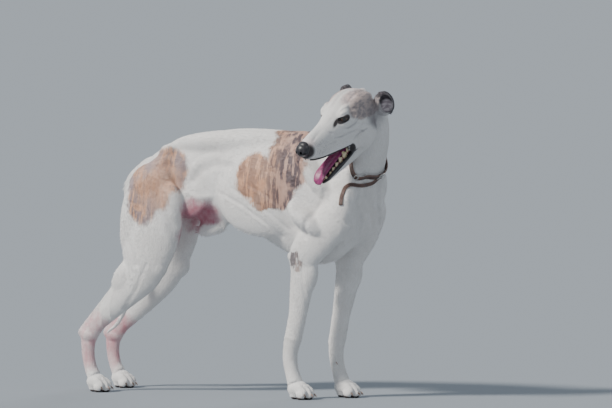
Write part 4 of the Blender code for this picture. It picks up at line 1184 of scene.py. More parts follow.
def eye_paint():
    """Pupil, brown iris with radial threads, dark limbus and a brownish white."""
    made, tree, shader = material("eyeball", Coat_Weight=1.0, Coat_Roughness=0.02, Roughness=0.30)
    far = node(tree, "ShaderNodeAttribute", attribute_name="from_axis").outputs["Fac"]
    threads = grain(tree, object_place(tree), 900, 2)
    iris = mix(tree, threads, (0.022, 0.010, 0.006), (0.085, 0.036, 0.016))
    iris = mix(tree, ramp(tree, far, 0.0070, 0.0096), iris, (0.006, 0.004, 0.004))
    white = mix(tree, ramp(tree, threads, 0.4, 0.6), (0.24, 0.15, 0.14), (0.34, 0.25, 0.24))
    colour = mix(tree, ramp(tree, far, 0.0100, 0.0116), iris, white)
    colour = mix(tree, ramp(tree, far, 0.0050, 0.0042), colour, (0.002, 0.002, 0.002))
    wire(tree, colour, shader.inputs["Base Color"])
    return made


def leather_paint():
    """Brown strap leather: dark dressing worn light along the edges, creases and pores."""
    made, tree, shader = material("strap_leather", Coat_Weight=0.12, Coat_Roughness=0.4)
    at = object_place(tree)
    across = node(tree, "ShaderNodeAttribute", attribute_name="across").outputs["Fac"]
    worn = ramp(tree, calc(tree, "ADD", across, both(tree, grain(tree, at, 140), 0.5)), 0.95, 1.35)
    mottle = ramp(tree, grain(tree, at, 60, 4), 0.35, 0.68)
    colour = mix(tree, mottle, (0.060, 0.030, 0.026), (0.135, 0.070, 0.056))
    colour = mix(tree, both(tree, worn, 0.6), colour, (0.28, 0.17, 0.13))
    pores = node(tree, "ShaderNodeTexVoronoi", {"Vector": at, "Scale": 1400}).outputs["Distance"]
    wire(tree, colour, shader.inputs["Base Color"])
    wire(tree, calc(tree, "MULTIPLY_ADD", mottle, 0.22, 0.38), shader.inputs["Roughness"])
    relief(tree, shader, calc(tree, "ADD", pores, grain(tree, at, 220, 3)), 0.35, 0.0006)
    return made


def steel_paint():
    made, tree, shader = material("worn_steel", Metallic=1.0)
    at = object_place(tree)
    scuffs = grain(tree, stretched(tree, at, (1, 1, 6)), 260, 3)
    worn = ramp(tree, scuffs, 0.4, 0.7)
    wire(tree, mix(tree, worn, (0.55, 0.54, 0.52), (0.78, 0.77, 0.75)), shader.inputs["Base Color"])
    wire(tree, calc(tree, "MULTIPLY_ADD", scuffs, 0.3, 0.12), shader.inputs["Roughness"])
    relief(tree, shader, scuffs, 0.15, 0.0002)
    return made


def dress(obj, paint):
    obj.data.materials.clear()
    obj.data.materials.append(paint)
    return obj


def note(obj, name, values):
    """Writes one number at each point of the mesh."""
    attribute = obj.data.attributes.new(name, "FLOAT", "POINT")
    attribute.data.foreach_set("value", np.asarray(values, np.float32))


# Face


def eyeball(side):
    """A ball with its pole on the gaze, swollen there by the cornea."""
    s = side_of(side)
    centre, gaze = mirrored(EYE_CENTRE, s), mirrored(EYE_GAZE, s)
    obj = clay(f"eyeball_{side}")
    bpy.ops.mesh.primitive_uv_sphere_add(
        segments=48, ring_count=36, radius=EYE_RADIUS, location=centre,
        rotation=gaze.to_track_quat("Z", "Y").to_euler(),
    )
    for degrees, push in ((34, 0.0003), (29, 0.0004), (24, 0.0004), (19, 0.0003), (13, 0.0002)):
        least = math.cos(math.radians(degrees))
        pick(lambda v: (v.co - centre).normalized().dot(gaze) > least)
        bpy.ops.transform.translate(value=gaze * push)
    closed(obj)
    spots = points_of(obj) - np.array(centre)
    along = spots @ np.array(gaze)
    off = np.linalg.norm(spots - along[:, None] * np.array(gaze), axis=1)
    note(obj, "from_axis", np.where(along > 0, off, 1.0))
    return placed(obj, head_matrix())


def lid_edge(s, wide, tall, proud):
    """A loop round the opening of the eye, on a ball that much larger than the eyeball."""
    centre, gaze = mirrored(EYE_CENTRE, s), mirrored(EYE_GAZE, s)
    turn = gaze.to_track_quat("X", "Z").to_matrix() @ Matrix.Rotation(math.radians(-s * LID_TILT), 3, "X")
    radius = EYE_RADIUS + proud
    loop = []
    for k in range(25):
        angle = math.tau * k / 24
        y, z = wide * math.cos(angle), tall * math.sin(angle)
        loop.append(centre + turn @ Vector((math.sqrt(radius ** 2 - y * y - z * z), y, z)))
    return loop


def eyelid_rims():
    obj = clay("eyelid_rims")
    for s in (-1, 1):
        cord_of(lid_edge(s, LID_SLIT[0] * 0.76, LID_SLIT[1] * 0.80, 0.0012), 0.0011, 2, 8)
    return placed(closed(obj), head_matrix())


def lip_line(s):
    """Along the lower lip, round the corner of the mouth and along the upper lip, in the head's frame."""
    lower = sided(
        s, (0.2400, 0.0050, -0.0475), (0.2350, 0.0100, -0.0470), (0.2200, 0.0160, -0.0460),
        (0.2000, 0.0190, -0.0462), (0.1750, 0.0216, -0.0492), (0.1520, 0.0240, -0.0535),
        (0.1340, 0.0262, -0.0550), (0.1240, 0.0285, -0.0520),
    )
    corner_and_upper = sided(
        s, (0.1120, 0.0322, -0.0745), (0.1110, 0.0342, -0.0650), (0.1180, 0.0330, -0.0598),
        (0.1350, 0.0296, -0.0570), (0.1600, 0.0262, -0.0548), (0.1880, 0.0230, -0.0525),
        (0.2150, 0.0200, -0.0490), (0.2380, 0.0150, -0.0440), (0.2500, 0.0080, -0.0400),
    )
    return [jaw_turn() @ Vector(p) for p in lower] + [Vector(p) for p in corner_and_upper]


def lip_width(t):
    """Full along the lower lip, thin at the corner of the mouth and along the upper lip."""
    if t < 0.50:
        return 0.0036
    return 0.0036 - 0.0014 * min(1.0, (t - 0.50) / 0.08)


def lips():
    obj = clay("lips")
    for s in (-1, 1):
        cord_of(lip_line(s), lip_width, 4, 12)
    return placed(closed(obj), head_matrix())


def gums():
    lower = clay("gums")
    for s in (-1, 1):
        cord_of(sided(
            s, (0.2380, 0, -0.0480), (0.2300, 0.0085, -0.0465), (0.2080, 0.0128, -0.0450),
            (0.1750, 0.0155, -0.0450), (0.1450, 0.0180, -0.0455), (0.1180, 0.0195, -0.0460),
        ), 0.0036, 4, 12)
    placed(closed(lower), jaw_turn())
    upper = clay("upper_gums")
    for s in (-1, 1):
        cord_of(sided(
            s, (0.2400, 0, -0.0405), (0.2300, 0.0085, -0.0415), (0.2120, 0.0120, -0.0450),
            (0.1800, 0.0150, -0.0485), (0.1500, 0.0172, -0.0520), (0.1280, 0.0185, -0.0550),
        ), 0.0032, 4, 12)
    return placed(joined("gums", lower, closed(upper)), head_matrix())


def crown(at, size, tall, down=False):
    """A cheek tooth: a high cusp between two low ones."""
    x, y, z = at
    sign = -1 if down else 1
    lump((x, y, z), (size * 0.62, size * 0.42, tall), around=10)
    for step in (-1, 1):
        lump((x + step * size * 0.62, y, z - sign * tall * 0.22), (size * 0.46, size * 0.36, tall * 0.62), around=8)


LOWER_MOLARS = (
    (0.210, 0.0140, 0.0050, 0.0050), (0.196, 0.0150, 0.0060, 0.0060), (0.180, 0.0162, 0.0068, 0.0076),
    (0.163, 0.0174, 0.0080, 0.0100), (0.145, 0.0188, 0.0092, 0.0122), (0.129, 0.0198, 0.0068, 0.0090),
)
UPPER_MOLARS = (
    (0.208, 0.0118, 0.0050, 0.0040), (0.192, 0.0130, 0.0060, 0.0044), (0.175, 0.0145, 0.0070, 0.0048),
    (0.157, 0.0158, 0.0088, 0.0058), (0.140, 0.0168, 0.0072, 0.0050),
)


def teeth():
    """Front teeth and canines, small premolars and large cusped molars."""
    lower = clay("teeth")
    for s in (-1, 1):
        for i in range(3):
            at = (0.2385 - 0.0014 * i * i, s * (0.0016 + 0.0031 * i), -0.0425)
            lump(at, (0.0019, 0.0016, 0.0070), -8, around=10)
        lump((0.2280, s * 0.0115, -0.0385), (0.0036, 0.0031, 0.0135), -10, around=12)
        for x, y, size, tall in LOWER_MOLARS:
            crown((x, s * y, -0.0420), size, tall)
    placed(closed(lower), jaw_turn())
    upper = clay("upper_teeth")
    for s in (-1, 1):
        for i in range(3):
            lump((0.2370 - 0.0014 * i * i, s * (0.0018 + 0.0028 * i), -0.0420), (0.0018, 0.0016, 0.0042), 8, around=10)
        lump((0.2250, s * 0.0100, -0.0450), (0.0032, 0.0027, 0.0072), 6, around=12)
        for x, y, size, tall in UPPER_MOLARS:
            crown((x, s * y, -0.0500 - 0.10 * (0.21 - x) * 0.5), size, tall, True)
    return placed(joined("teeth", lower, closed(upper)), head_matrix())


def tongue():
    """Long and soft, grooved along the middle, with raised edges and a rounded tip over the front teeth."""
    obj = clay("tongue")
    rows = (
        (0.088, -0.0450, -0.0580, 0.0130),
        (0.116, -0.0350, -0.0500, 0.0165),
        (0.146, -0.0285, -0.0420, 0.0180),
        (0.176, -0.0255, -0.0370, 0.0185),
        (0.204, -0.0235, -0.0335, 0.0195),
        (0.224, -0.0238, -0.0315, 0.0200),
        (0.238, -0.0268, -0.0335, 0.0190),
        (0.248, -0.0322, -0.0380, 0.0160),
        (0.253, -0.0392, -0.0430, 0.0105),
    )
    sides = 24
    barrel(rows, power=2.4, steps=4, sides=sides)
    for k, sink in ((18, 0.0042), (17, 0.0026), (19, 0.0026), (16, 0.0008), (20, 0.0008)):
        pick(lambda v: v.index % sides == k and 0.10 < v.co.x < 0.252)
        bpy.ops.transform.translate(value=(0, 0, -sink))
    closed(obj)
    melted(obj, 0.0011, 4)
    return placed(placed(obj, jaw_turn()), head_matrix())


def nose_leather():
    obj = clay("nose_leather")
    lump((0.2585, 0, -0.0085), (0.0180, 0.0195, 0.0178), 8)
    lump((0.2520, 0, 0.0030), (0.0130, 0.0155, 0.0095), -10)
    lump((0.2530, 0, -0.0260), (0.0125, 0.0110, 0.0100), 20)
    for s in (-1, 1):
        lump((0.2645, s * 0.0102, -0.0095), (0.0090, 0.0085, 0.0100))
        lump((0.2560, s * 0.0150, -0.0040), (0.0090, 0.0050, 0.0080), 0, -s * 14)
    melted(closed(obj), 0.0009, 14)
    for s in (-1, 1):
        hole = clay("nostril")
        lump((0.2742, s * 0.0076, -0.0090), (0.0115, 0.0036, 0.0044), -6, s * 18)
        cut(obj, closed(hole))
        slit = clay("slit")
        lump((0.2702, s * 0.0152, -0.0120), (0.0100, 0.0050, 0.0015), 0, s * 35)
        cut(obj, closed(slit))
    groove = clay("groove")
    lump((0.2765, 0, -0.0180), (0.0050, 0.0008, 0.0110), 0)
    cut(obj, closed(groove))
    modify(obj, "SMOOTH", factor=0.5, iterations=2)
    return placed(obj, head_matrix())


def whiskers():
    """Stiff hairs on muzzle and brows, each a tapered thread."""
    obj = clay("whiskers")
    for s in (-1, 1):
        for row in range(3):
            for i in range(5):
                x = 0.232 - 0.013 * i - 0.004 * row
                z = -0.012 - 0.008 * row
                root = Vector((x, s * (0.0205 + 0.0016 * i), z))
                away = Vector((-0.35 - 0.10 * i, s * 0.9, -0.30 - 0.15 * row)).normalized()
                reach = 0.020 + 0.004 * i
                droop = Vector((-0.25, 0, -0.35)) * reach
                points = [root + away * reach * t + droop * t * t for t in (0, 0.35, 0.7, 1.0)]
                cord_of(points, lambda t: 0.00026 * (1 - 0.8 * t), 2, 5)
        for i in range(3):
            root = Vector((0.112 - 0.008 * i, s * (0.036 + 0.002 * i), 0.0475 - 0.002 * i))
            away = Vector((0.1 - 0.2 * i, s * 0.6, 0.8)).normalized() * 0.013
            points = [root, root + away * 0.5, root + away + Vector((-0.003, 0, 0))]
            cord_of(points, lambda t: 0.00022 * (1 - 0.8 * t), 2, 5)
    return placed(closed(obj), head_matrix())


# Feet


def toes():
    """The tip of each toe and the toe's turn in degrees."""
    for kind, legs in (("fore", FORELEG), ("hind", HINDLEG)):
        for stations in legs.values():
            foot = Vector(stations[-1][:3])
            for place, length in TOES:
                far = TOE_REACH[kind] * length
                yield foot + Vector((far, place * TOE_GAP * TOE_SPREAD, 0)), place * TOE_TURN


def claws():
    """One curved, tapered claw for each toe and two dewclaws."""
    obj = clay("claws")
    for tip, turn in toes():
        ahead = Vector((math.cos(math.radians(turn)), math.sin(math.radians(turn)), 0))
        root = Vector((tip.x - 0.007, tip.y, 0.0155))
        points = [root, root + ahead * 0.006 + Vector((0, 0, -0.0005)), root + ahead * 0.0105 + Vector((0, 0, -0.0040)),
                  root + ahead * 0.0125 + Vector((0, 0, -0.0085))]
        cord_of(points, lambda t: 0.0030 - 0.0022 * t, 3, 10)
    for side, stations in FORELEG.items():
        foot = Vector(stations[-1][:3]) + Vector((-0.008, -side_of(side) * 0.019, 0.052))
        inner = -side_of(side)
        points = [foot, foot + Vector((0.003, inner * 0.001, -0.004)), foot + Vector((0.006, inner * 0.0005, -0.008))]
        cord_of(points, lambda t: 0.0021 - 0.0015 * t, 3, 8)
    return closed(obj)


def pads():
    """Dark leather under each toe, under the ball of each foot and behind each wrist."""
    obj = clay("pads")
    for tip, turn in toes():
        lump((tip.x - 0.0150, tip.y, 0.0044), (0.0085, 0.0058, 0.0044), 0, turn, 16)
    for legs in (FORELEG, HINDLEG):
        for stations in legs.values():
            foot = stations[-1]
            lump((foot[0] + 0.012, foot[1], 0.0052), (0.0125, 0.0125, 0.0052), 0, 0, 20)
            for s in (-1, 1):
                lump((foot[0] + 0.002, foot[1] + s * 0.008, 0.0048), (0.0090, 0.0070, 0.0048), 0, 0, 16)
    for stations in FORELEG.values():
        wrist = stations[6]
        lump((wrist[0] - 0.0235, wrist[1], 0.147), (0.0055, 0.0060, 0.0085), -20, 0, 16)
    return closed(obj)


# Collar


def nearest(skin, point):
    _, spot, normal, _ = skin.closest_point_on_mesh(point)
    return spot, normal


def neck_loop(skin, lift):
    """Points on the skin round the neck in the plane of the collar, raised by lift."""
    side = COLLAR_NORMAL.cross(Vector((0, 0, 1))).normalized()
    up = side.cross(COLLAR_NORMAL)
    loop = []
    for k in range(COLLAR_STEPS):
        angle = math.tau * k / COLLAR_STEPS
        out = side * math.cos(angle) + up * math.sin(angle)
        spots = []
        for off in (-0.005, 0.005):
            start = COLLAR_AT + COLLAR_NORMAL * off
            found, spot, _, _ = skin.ray_cast(start + out * 0.12, -out, distance=0.12)
            if found:
                spots.append((spot - start).dot(out))
        loop.append(COLLAR_AT + out * (max(spots) + lift))
    for _ in range(4):
        loop = [(a + 2 * b + c) / 4 for a, b, c in zip(loop[-1:] + loop[:-1], loop, loop[1:] + loop[:1])]
    return loop


def strip(name, line, across, half, rows):
    """A flat strap along a line: a grid laid out, noting how far across each point lies; thick gives it its thickness
    and rounded edges.
    """
    bpy.ops.object.select_all(action="DESELECT")
    bpy.ops.mesh.primitive_grid_add(x_subdivisions=len(line) - 1, y_subdivisions=rows, size=1.0)
    obj = bpy.context.object
    obj.name = name
    last = len(line) - 1
    sides = []
    for vert in obj.data.vertices:
        i = round((vert.co.x + 0.5) * last)
        side = vert.co.y * 2
        vert.co = line[i] + across[i] * (side * half)
        sides.append(abs(side))
    note(obj, "across", sides)
    return obj


def thick(obj, thickness):
    modify(obj, "SOLIDIFY", thickness=thickness, offset=0.0)
    modify(obj, "BEVEL", width=0.0007, segments=2, limit_method="ANGLE", angle_limit=math.radians(50))
    return obj


def collar_band(skin):
    loop = neck_loop(skin, COLLAR_LIFT)
    loop.append(loop[0])
    obj = strip("collar_band", loop, [COLLAR_NORMAL] * len(loop), COLLAR_WIDTH / 2, 4)
    alone(obj)
    bpy.ops.object.mode_set(mode="EDIT")
    bpy.ops.mesh.select_all(action="SELECT")
    bpy.ops.mesh.remove_doubles(threshold=0.0001)
    bpy.ops.mesh.normals_make_consistent(inside=False)
    return thick(closed(obj), COLLAR_THICKNESS)


def strap_line(skin):
    line = [Vector(p) for p in between(STRAP, 5)]
    for _ in range(4):
        line = [nearest(skin, p)[0] + nearest(skin, p)[1] * STRAP_LIFT for p in line]
        line = [line[0], *((a + 2 * b + c) / 4 for a, b, c in zip(line, line[1:], line[2:])), line[-1]]
    across = []
    for i, point in enumerate(line):
        along = (line[min(i + 1, len(line) - 1)] - line[max(i - 1, 0)]).normalized()
        across.append(nearest(skin, point)[1].cross(along).normalized())
    return line, across


def collar_tail(skin):
    line, across = strap_line(skin)
    return thick(strip("collar_tail", line, across, STRAP_HALF, 3), STRAP_THICKNESS)


def seam(path, across, off):
    """A row of stitches: one bead, repeated along X by an array, then laid along the path."""
    lengths = [0.0]
    for a, b in zip(path, path[1:]):
        lengths.append(lengths[-1] + (b - a).length)
    count = int(lengths[-1] / STITCH)
    obj = clay("seam")
    lump((STITCH / 2, 0, 0), (STITCH * 0.36, 0.00042, 0.00036), around=6)
    closed(obj)
    modify(obj, "ARRAY", count=count, use_relative_offset=False, use_constant_offset=True,
           constant_offset_displace=(STITCH, 0, 0))
    step = 0
    order = sorted(obj.data.vertices, key=lambda v: v.co.x)
    for vert in order:
        x, y, z = vert.co
        while step < len(path) - 2 and lengths[step + 1] < x:
            step += 1
        run = path[step + 1] - path[step]
        side = across[step]
        spot = path[step] + run.normalized() * (x - lengths[step])
        vert.co = spot + side * (off + y) + run.cross(side).normalized() * z
    return obj


def stitches(skin):
    """Thread along each edge of the band and of the loose end."""
    loop = neck_loop(skin, COLLAR_LIFT + COLLAR_THICKNESS / 2 + 0.0001)
    loop.append(loop[0])
    line, across = strap_line(skin)
    lifted = [p + nearest(skin, p)[1] * (STRAP_THICKNESS / 2 + 0.0001) for p in line]
    rows = []
    for sign in (-1, 1):
        rows.append(seam(loop, [COLLAR_NORMAL] * len(loop), sign * (COLLAR_WIDTH / 2 - 0.0018)))
        rows.append(seam(lifted, across, sign * (STRAP_HALF - 0.0014)))
    return joined("stitches", *rows)


def fitting(name, skin, point, long, tall, wire_radius, prong):
    """A wire frame on the band, rounded at its corners and bent to the neck."""
    band = neck_loop(skin, COLLAR_LIFT)
    at = min(range(len(band)), key=lambda k: (band[k] - point).length)
    along = (band[(at + 2) % len(band)] - band[at - 2]).normalized()
    out = along.cross(COLLAR_NORMAL).normalized()
    out *= math.copysign(1, out.dot(band[at] - COLLAR_AT))
    spot = band[at] + out * (COLLAR_THICKNESS / 2 + wire_radius * 0.8)
    obj = clay(name)
    loop = []
    for k in range(33):
        angle = math.tau * k / 32
        c, s = math.cos(angle), math.sin(angle)
        x = math.copysign(abs(c) ** 0.45, c) * long / 2
        y = math.copysign(abs(s) ** 0.45, s) * tall / 2
        bend = -0.5 * x * x / 0.05
        loop.append(spot + along * x + COLLAR_NORMAL * y + out * bend)
    cord_of(loop, wire_radius, 1, 12)
    if prong:
        cord_of([spot - along * long / 2, spot + out * 0.0012, spot + along * (long / 2 + 0.001) + out * 0.0006],
                wire_radius * 0.75, 5, 10)
    return closed(obj)


def keeper(skin):
    """A narrow loop of leather that holds the loose end against the band."""
    line, across = strap_line(skin)
    spot = line[2]
    along = (line[4] - line[0]).normalized()
    out = nearest(skin, spot)[1]
    obj = clay("keeper")
    for turn in range(2):
        loop = []
        for k in range(25):
            angle = math.tau * k / 24
            c, s = math.cos(angle), math.sin(angle)
            loop.append(
                spot + along * (turn * 0.0024 - 0.0012)
                + across[2] * math.copysign(abs(c) ** 0.5, c) * 0.0062
                + out * math.copysign(abs(s) ** 0.5, s) * 0.0034
            )
        cord_of(loop, 0.0013, 1, 8)
    return closed(obj)


# Coat


def bones():
    """Short stretches of the body with the way its hair lies, its length, and the name of its region."""
    place = head_matrix()
    out = []

    def run(points, radii, region, hair, reverse=False):
        for a, b, r in zip(points, points[1:], radii):
            lie = (a - b) if reverse else (b - a)
            out.append((a, b, r, lie.normalized(), hair, region))

    for rows, turn in ((SKULL, Matrix()), (JAW, jaw_turn())):
        middle = [place @ turn @ Vector((x, 0, (top + under) / 2)) for x, top, under, _ in rows]
        run(middle, [row[3] for row in rows], "head", 0.0034, True)
    for s, lift in ((-1, Vector((0.014, 0, 0.006))), (1, Vector())):
        ear = [place @ (Vector((0.012, s * 0.046, 0.0)) + lift), place @ (Vector((-0.034, s * 0.064, 0.010)) + lift)]
        run(ear, [0.022], "head", 0.0021)
    neck = [Vector(p[:3]) for p in NECK]
    run(neck, [p[4] for p in NECK], "neck", 0.0070, True)
    trunk = [Vector((x, 0, (t + b) / 2)) for x, t, b, w in TRUNK]
    for a, b, row in zip(trunk, trunk[1:], TRUNK):
        out.append((a, b, row[3] * 1.1, Vector((-1, 0, -0.28)).normalized(), 0.0076, "trunk"))
    for legs, region, hair in ((FORELEG, "foreleg", 0.0058), (HINDLEG, "hindleg", 0.0068)):
        for stations in legs.values():
            points = [Vector(p[:3]) for p in stations]
            run(points, [p[4] for p in stations], region, hair)
            foot = points[-1]
            out.append((foot, foot + Vector((0.05, 0, -0.036)), 0.022, Vector((0.8, 0, -0.6)), 0.0040, region))
    run([Vector(p[:3]) for p in TAIL], [p[3] for p in TAIL], "hindleg", 0.0110)
    return out


def comb(skin):
    """Writes on the skin how hair lies, how long it is and where it fringes; gives region, density and length."""
    spots = points_of(skin) - np.array(STANCE_SHIFT)
    normals = normals_of(skin)
    regions = ["head", "neck", "trunk", "foreleg", "hindleg"]
    lie = np.zeros((len(spots), 3))
    hair = np.zeros(len(spots))
    total = np.zeros(len(spots))
    share = np.zeros((len(spots), len(regions)))
    for a, b, radius, way, length, region in bones():
        a, b = np.array(a), np.array(b)
        run = b - a
        t = np.clip((spots - a) @ run / (run @ run), 0, 1)
        far = np.linalg.norm(spots - a - t[:, None] * run, axis=1) / radius
        weight = np.exp(-1.6 * far * far) + 1e-12
        lie += weight[:, None] * np.array(way)
        hair += weight * length
        total += weight
        share[:, regions.index(region)] += weight
    hair /= total
    region = share.argmax(1)
    inverse = head_matrix().inverted()
    turn = np.array(inverse.to_3x3())
    face = spots @ turn.T + np.array(inverse.to_translation())
    jaw = np.array((jaw_turn().inverted()).to_3x3())
    in_jaw = (face - np.array(JAW_HINGE)) @ jaw.T + np.array(JAW_HINGE)
    density = np.ones(len(spots))
    for s in (-1, 1):
        eye = np.array(mirrored(EYE_CENTRE, s) + mirrored(EYE_GAZE, s) * EYE_RADIUS)
        density[np.linalg.norm((face - eye) / np.array((0.021, 0.019, 0.013)), axis=1) < 1] = 0
        cup = np.array((-0.002 + (0.014 if s < 0 else 0), s * 0.064, 0.002))
        density[np.linalg.norm(face - cup, axis=1) < 0.019] *= 0.12
    on_head = region == 0
    mouth = (np.abs(face[:, 1]) < 0.030) & (face[:, 0] > 0.095) & (face[:, 2] < -0.044) & (in_jaw[:, 2] > -0.054)
    density[on_head & mouth] = 0
    density[on_head & (face[:, 0] > 0.236)] = 0
    density[(spots[:, 2] < 0.012)] = 0
    groin = np.linalg.norm((spots - np.array((-0.345, 0.0, 0.480))) / np.array((0.080, 0.070, 0.070)), axis=1) < 1
    density[groin & (normals[:, 2] < 0.3)] = 0.25
    fringe = np.zeros(len(spots))
    under = (spots[:, 0] > -0.36) & (spots[:, 0] < -0.22) & (spots[:, 2] < 0.475) & (np.abs(spots[:, 1]) < 0.03)
    fringe[under] = 1.0
    behind = (region == 4) & (normals[:, 0] < -0.75) & (spots[:, 2] > 0.25)
    fringe[behind] = 0.7
    brisket = (region == 2) & (normals[:, 2] < -0.8)
    fringe[brisket] = 0.6
    hair *= 1 + 0.45 * fringe
    written = skin.data.attributes.new("lie", "FLOAT_VECTOR", "POINT")
    written.data.foreach_set("vector", lie.astype(np.float32).ravel())
    note(skin, "hair", hair)
    note(skin, "fringe", fringe)
    return region, density, hair


def tuft_shape():
    """A leaf of hair, one long, along +X: four faces with a ridge."""
    obj = clay("tuft")
    bpy.ops.mesh.primitive_circle_add(vertices=4, radius=1.0, fill_type="TRIFAN")
    closed(obj)
    for vert in obj.data.vertices:
        x, y = vert.co.x, vert.co.y
        if abs(x) < 0.1 and abs(y) < 0.1:
            vert.co = (0.40, 0, 0.055)
        elif abs(y) > 0.5:
            vert.co = (0.36, math.copysign(0.095, y), 0.0)
        else:
            vert.co = (1.0, 0, 0.045) if x > 0 else (0.0, 0, -0.06)
    uv = obj.data.uv_layers.new(name="patch")
    for loop in obj.data.loops:
        spot = obj.data.vertices[loop.vertex_index].co
        uv.data[loop.index].uv = (spot.x, 0.5 + spot.y * 5)
    return obj


def tufting(tuft, count_seed, paint):
    """Geometry nodes that root tufts over a combed skin and turn them into plain mesh."""
    tree = bpy.data.node_groups.new("tufting", "GeometryNodeTree")
    tree.interface.new_socket(name="Geometry", in_out="INPUT", socket_type="NodeSocketGeometry")
    tree.interface.new_socket(name="Geometry", in_out="OUTPUT", socket_type="NodeSocketGeometry")
    start = tree.nodes.new("NodeGroupInput")
    end = tree.nodes.new("NodeGroupOutput")

    def named(name, kind):
        return node(tree, "GeometryNodeInputNamedAttribute", {"Name": name}, data_type=kind).outputs[0]

    def random(low, high, seed):
        made = node(tree, "FunctionNodeRandomValue", data_type="FLOAT")
        wire(tree, low, made.inputs[2])
        wire(tree, high, made.inputs[3])
        wire(tree, seed, made.inputs[8])
        return made.outputs[1]

    def stored(geometry, name, value, kind, domain="POINT"):
        made = node(tree, "GeometryNodeStoreNamedAttribute", {"Geometry": geometry, "Name": name},
                    data_type=kind, domain=domain)
        wire(tree, value, made.inputs["Value"])
        return made.outputs[0]

    rooted = node(tree, "GeometryNodeDistributePointsOnFaces", {"Mesh": start.outputs[0], "Seed": count_seed},
                  distribute_method="RANDOM")
    wire(tree, named("density", "FLOAT"), rooted.inputs["Density"])
    upright = node(tree, "FunctionNodeAlignRotationToVector", {"Vector": rooted.outputs["Normal"]}, axis="Z")
    laid = node(tree, "FunctionNodeAlignRotationToVector",
                {"Rotation": upright.outputs[0], "Vector": named("lie", "FLOAT_VECTOR")}, axis="X", pivot_axis="Z")
    fringe = named("fringe", "FLOAT")
    angles = node(tree, "ShaderNodeCombineXYZ")
    wire(tree, random(-0.25, 0.25, 3), angles.inputs[0])
    lift = calc(tree, "MULTIPLY_ADD", fringe, -0.40, -0.070)
    wire(tree, both(tree, lift, random(0.5, 1.6, 4)), angles.inputs[1])
    wire(tree, random(-0.28, 0.28, 5), angles.inputs[2])
    turned = node(tree, "FunctionNodeRotateRotation", rotation_space="LOCAL")
    wire(tree, laid.outputs[0], turned.inputs[0])
    wire(tree, angles.outputs[0], turned.inputs[1])
    size = node(tree, "ShaderNodeCombineXYZ")
    length = both(tree, named("hair", "FLOAT"), random(0.65, 1.25, 6))
    wire(tree, length, size.inputs[0])
    wire(tree, both(tree, length, random(0.7, 1.15, 7)), size.inputs[1])
    wire(tree, length, size.inputs[2])
    roots = stored(rooted.outputs["Points"], "root", named("OFBake", "FLOAT_VECTOR"), "FLOAT_VECTOR")
    roots = stored(roots, "tuft", random(0.0, 1.0, 8), "FLOAT")
    # each tuft carries the painted shade of the fold at its root
    roots = stored(roots, "fold", named("fold", "FLOAT"), "FLOAT")
    shape = node(tree, "GeometryNodeObjectInfo", {"Object": tuft})
    planted = node(tree, "GeometryNodeInstanceOnPoints", {"Points": roots})
    wire(tree, shape.outputs["Geometry"], planted.inputs["Instance"])
    wire(tree, turned.outputs[0], planted.inputs["Rotation"])
    wire(tree, size.outputs[0], planted.inputs["Scale"])
    real = node(tree, "GeometryNodeRealizeInstances", {"Geometry": planted.outputs[0]})
    patch = shifted(tree, "SUBTRACT", named("patch", "FLOAT_VECTOR"), (0.5, 0.5, 0))
    spot = shifted(tree, "ADD", named("root", "FLOAT_VECTOR"), shifted(tree, "SCALE", patch, PATCH_SIZE))
    mapped = stored(real.outputs[0], "OFBake", spot, "FLOAT2", "CORNER")
    dressed = node(tree, "GeometryNodeSetMaterial", {"Geometry": mapped, "Material": paint})
    wire(tree, dressed.outputs[0], end.inputs[0])
    return tree


def coat_piece(name, skin, wanted, density, tuft, paint, seed):
    """Tufts over the chosen points of the skin, as many as a piece may hold."""
    obj = twin(skin, name)
    mesh = obj.data
    areas = np.zeros(len(mesh.polygons))
    mesh.polygons.foreach_get("area", areas)
    thin = np.where(wanted, density, 0.0)
    first = np.zeros(len(mesh.polygons), np.int32)
    mesh.polygons.foreach_get("loop_start", first)
    verts = np.zeros(len(mesh.loops), np.int32)
    mesh.loops.foreach_get("vertex_index", verts)
    spread = (thin[verts[first]] * areas).sum()
    note(obj, "density", thin * (TUFTS_PER_PIECE / spread))
    alone(obj)
    bpy.ops.object.modifier_add(type="NODES")
    obj.modifiers[-1].node_group = tufting(tuft, seed, paint)
    bpy.ops.object.modifier_apply(modifier=obj.modifiers[-1].name)
    dress(obj, paint)
    return obj


# Stage


def soft_sun(name, turn, height, strength, spread, colour):
    """An even light from far off; turn is from behind the camera towards its left, in degrees."""
    way = CAMERA_TURN - math.radians(turn)
    high = math.radians(height)
    back = Vector((math.sin(way) * math.cos(high), -math.cos(way) * math.cos(high), math.sin(high)))
    bpy.ops.object.light_add(type="SUN", location=back * 8)
    lamp = bpy.context.object
    lamp.name = name
    lamp.data.energy = strength
    lamp.data.angle = math.radians(spread)
    lamp.data.color = colour
    lamp.rotation_euler = back.to_track_quat("Z", "Y").to_euler()


def stage():
    bpy.ops.object.select_all(action="DESELECT")
    bpy.ops.mesh.primitive_circle_add(vertices=96, radius=60, fill_type="NGON", location=(0, 0, 0))
    floor = bpy.context.object
    floor.name = "floor"
    pale, _, shader = material("pale_floor", Roughness=0.95)
    shader.inputs["Base Color"].default_value = FLOOR_TONE
    shader.inputs["Specular IOR Level"].default_value = 0.0
    floor.data.materials.append(pale)
    soft_sun("key", 62, 40, 4.4, 9, (1.0, 0.965, 0.90))
    soft_sun("rim", 205, 35, 0.7, 20, (1.0, 1.0, 1.0))
    world = bpy.data.worlds.new("studio")
    world.use_nodes = True
    world.node_tree.nodes["Background"].inputs["Color"].default_value = (0.82, 0.91, 1.0, 1)
    world.node_tree.nodes["Background"].inputs["Strength"].default_value = 0.50
    bpy.context.scene.world = world


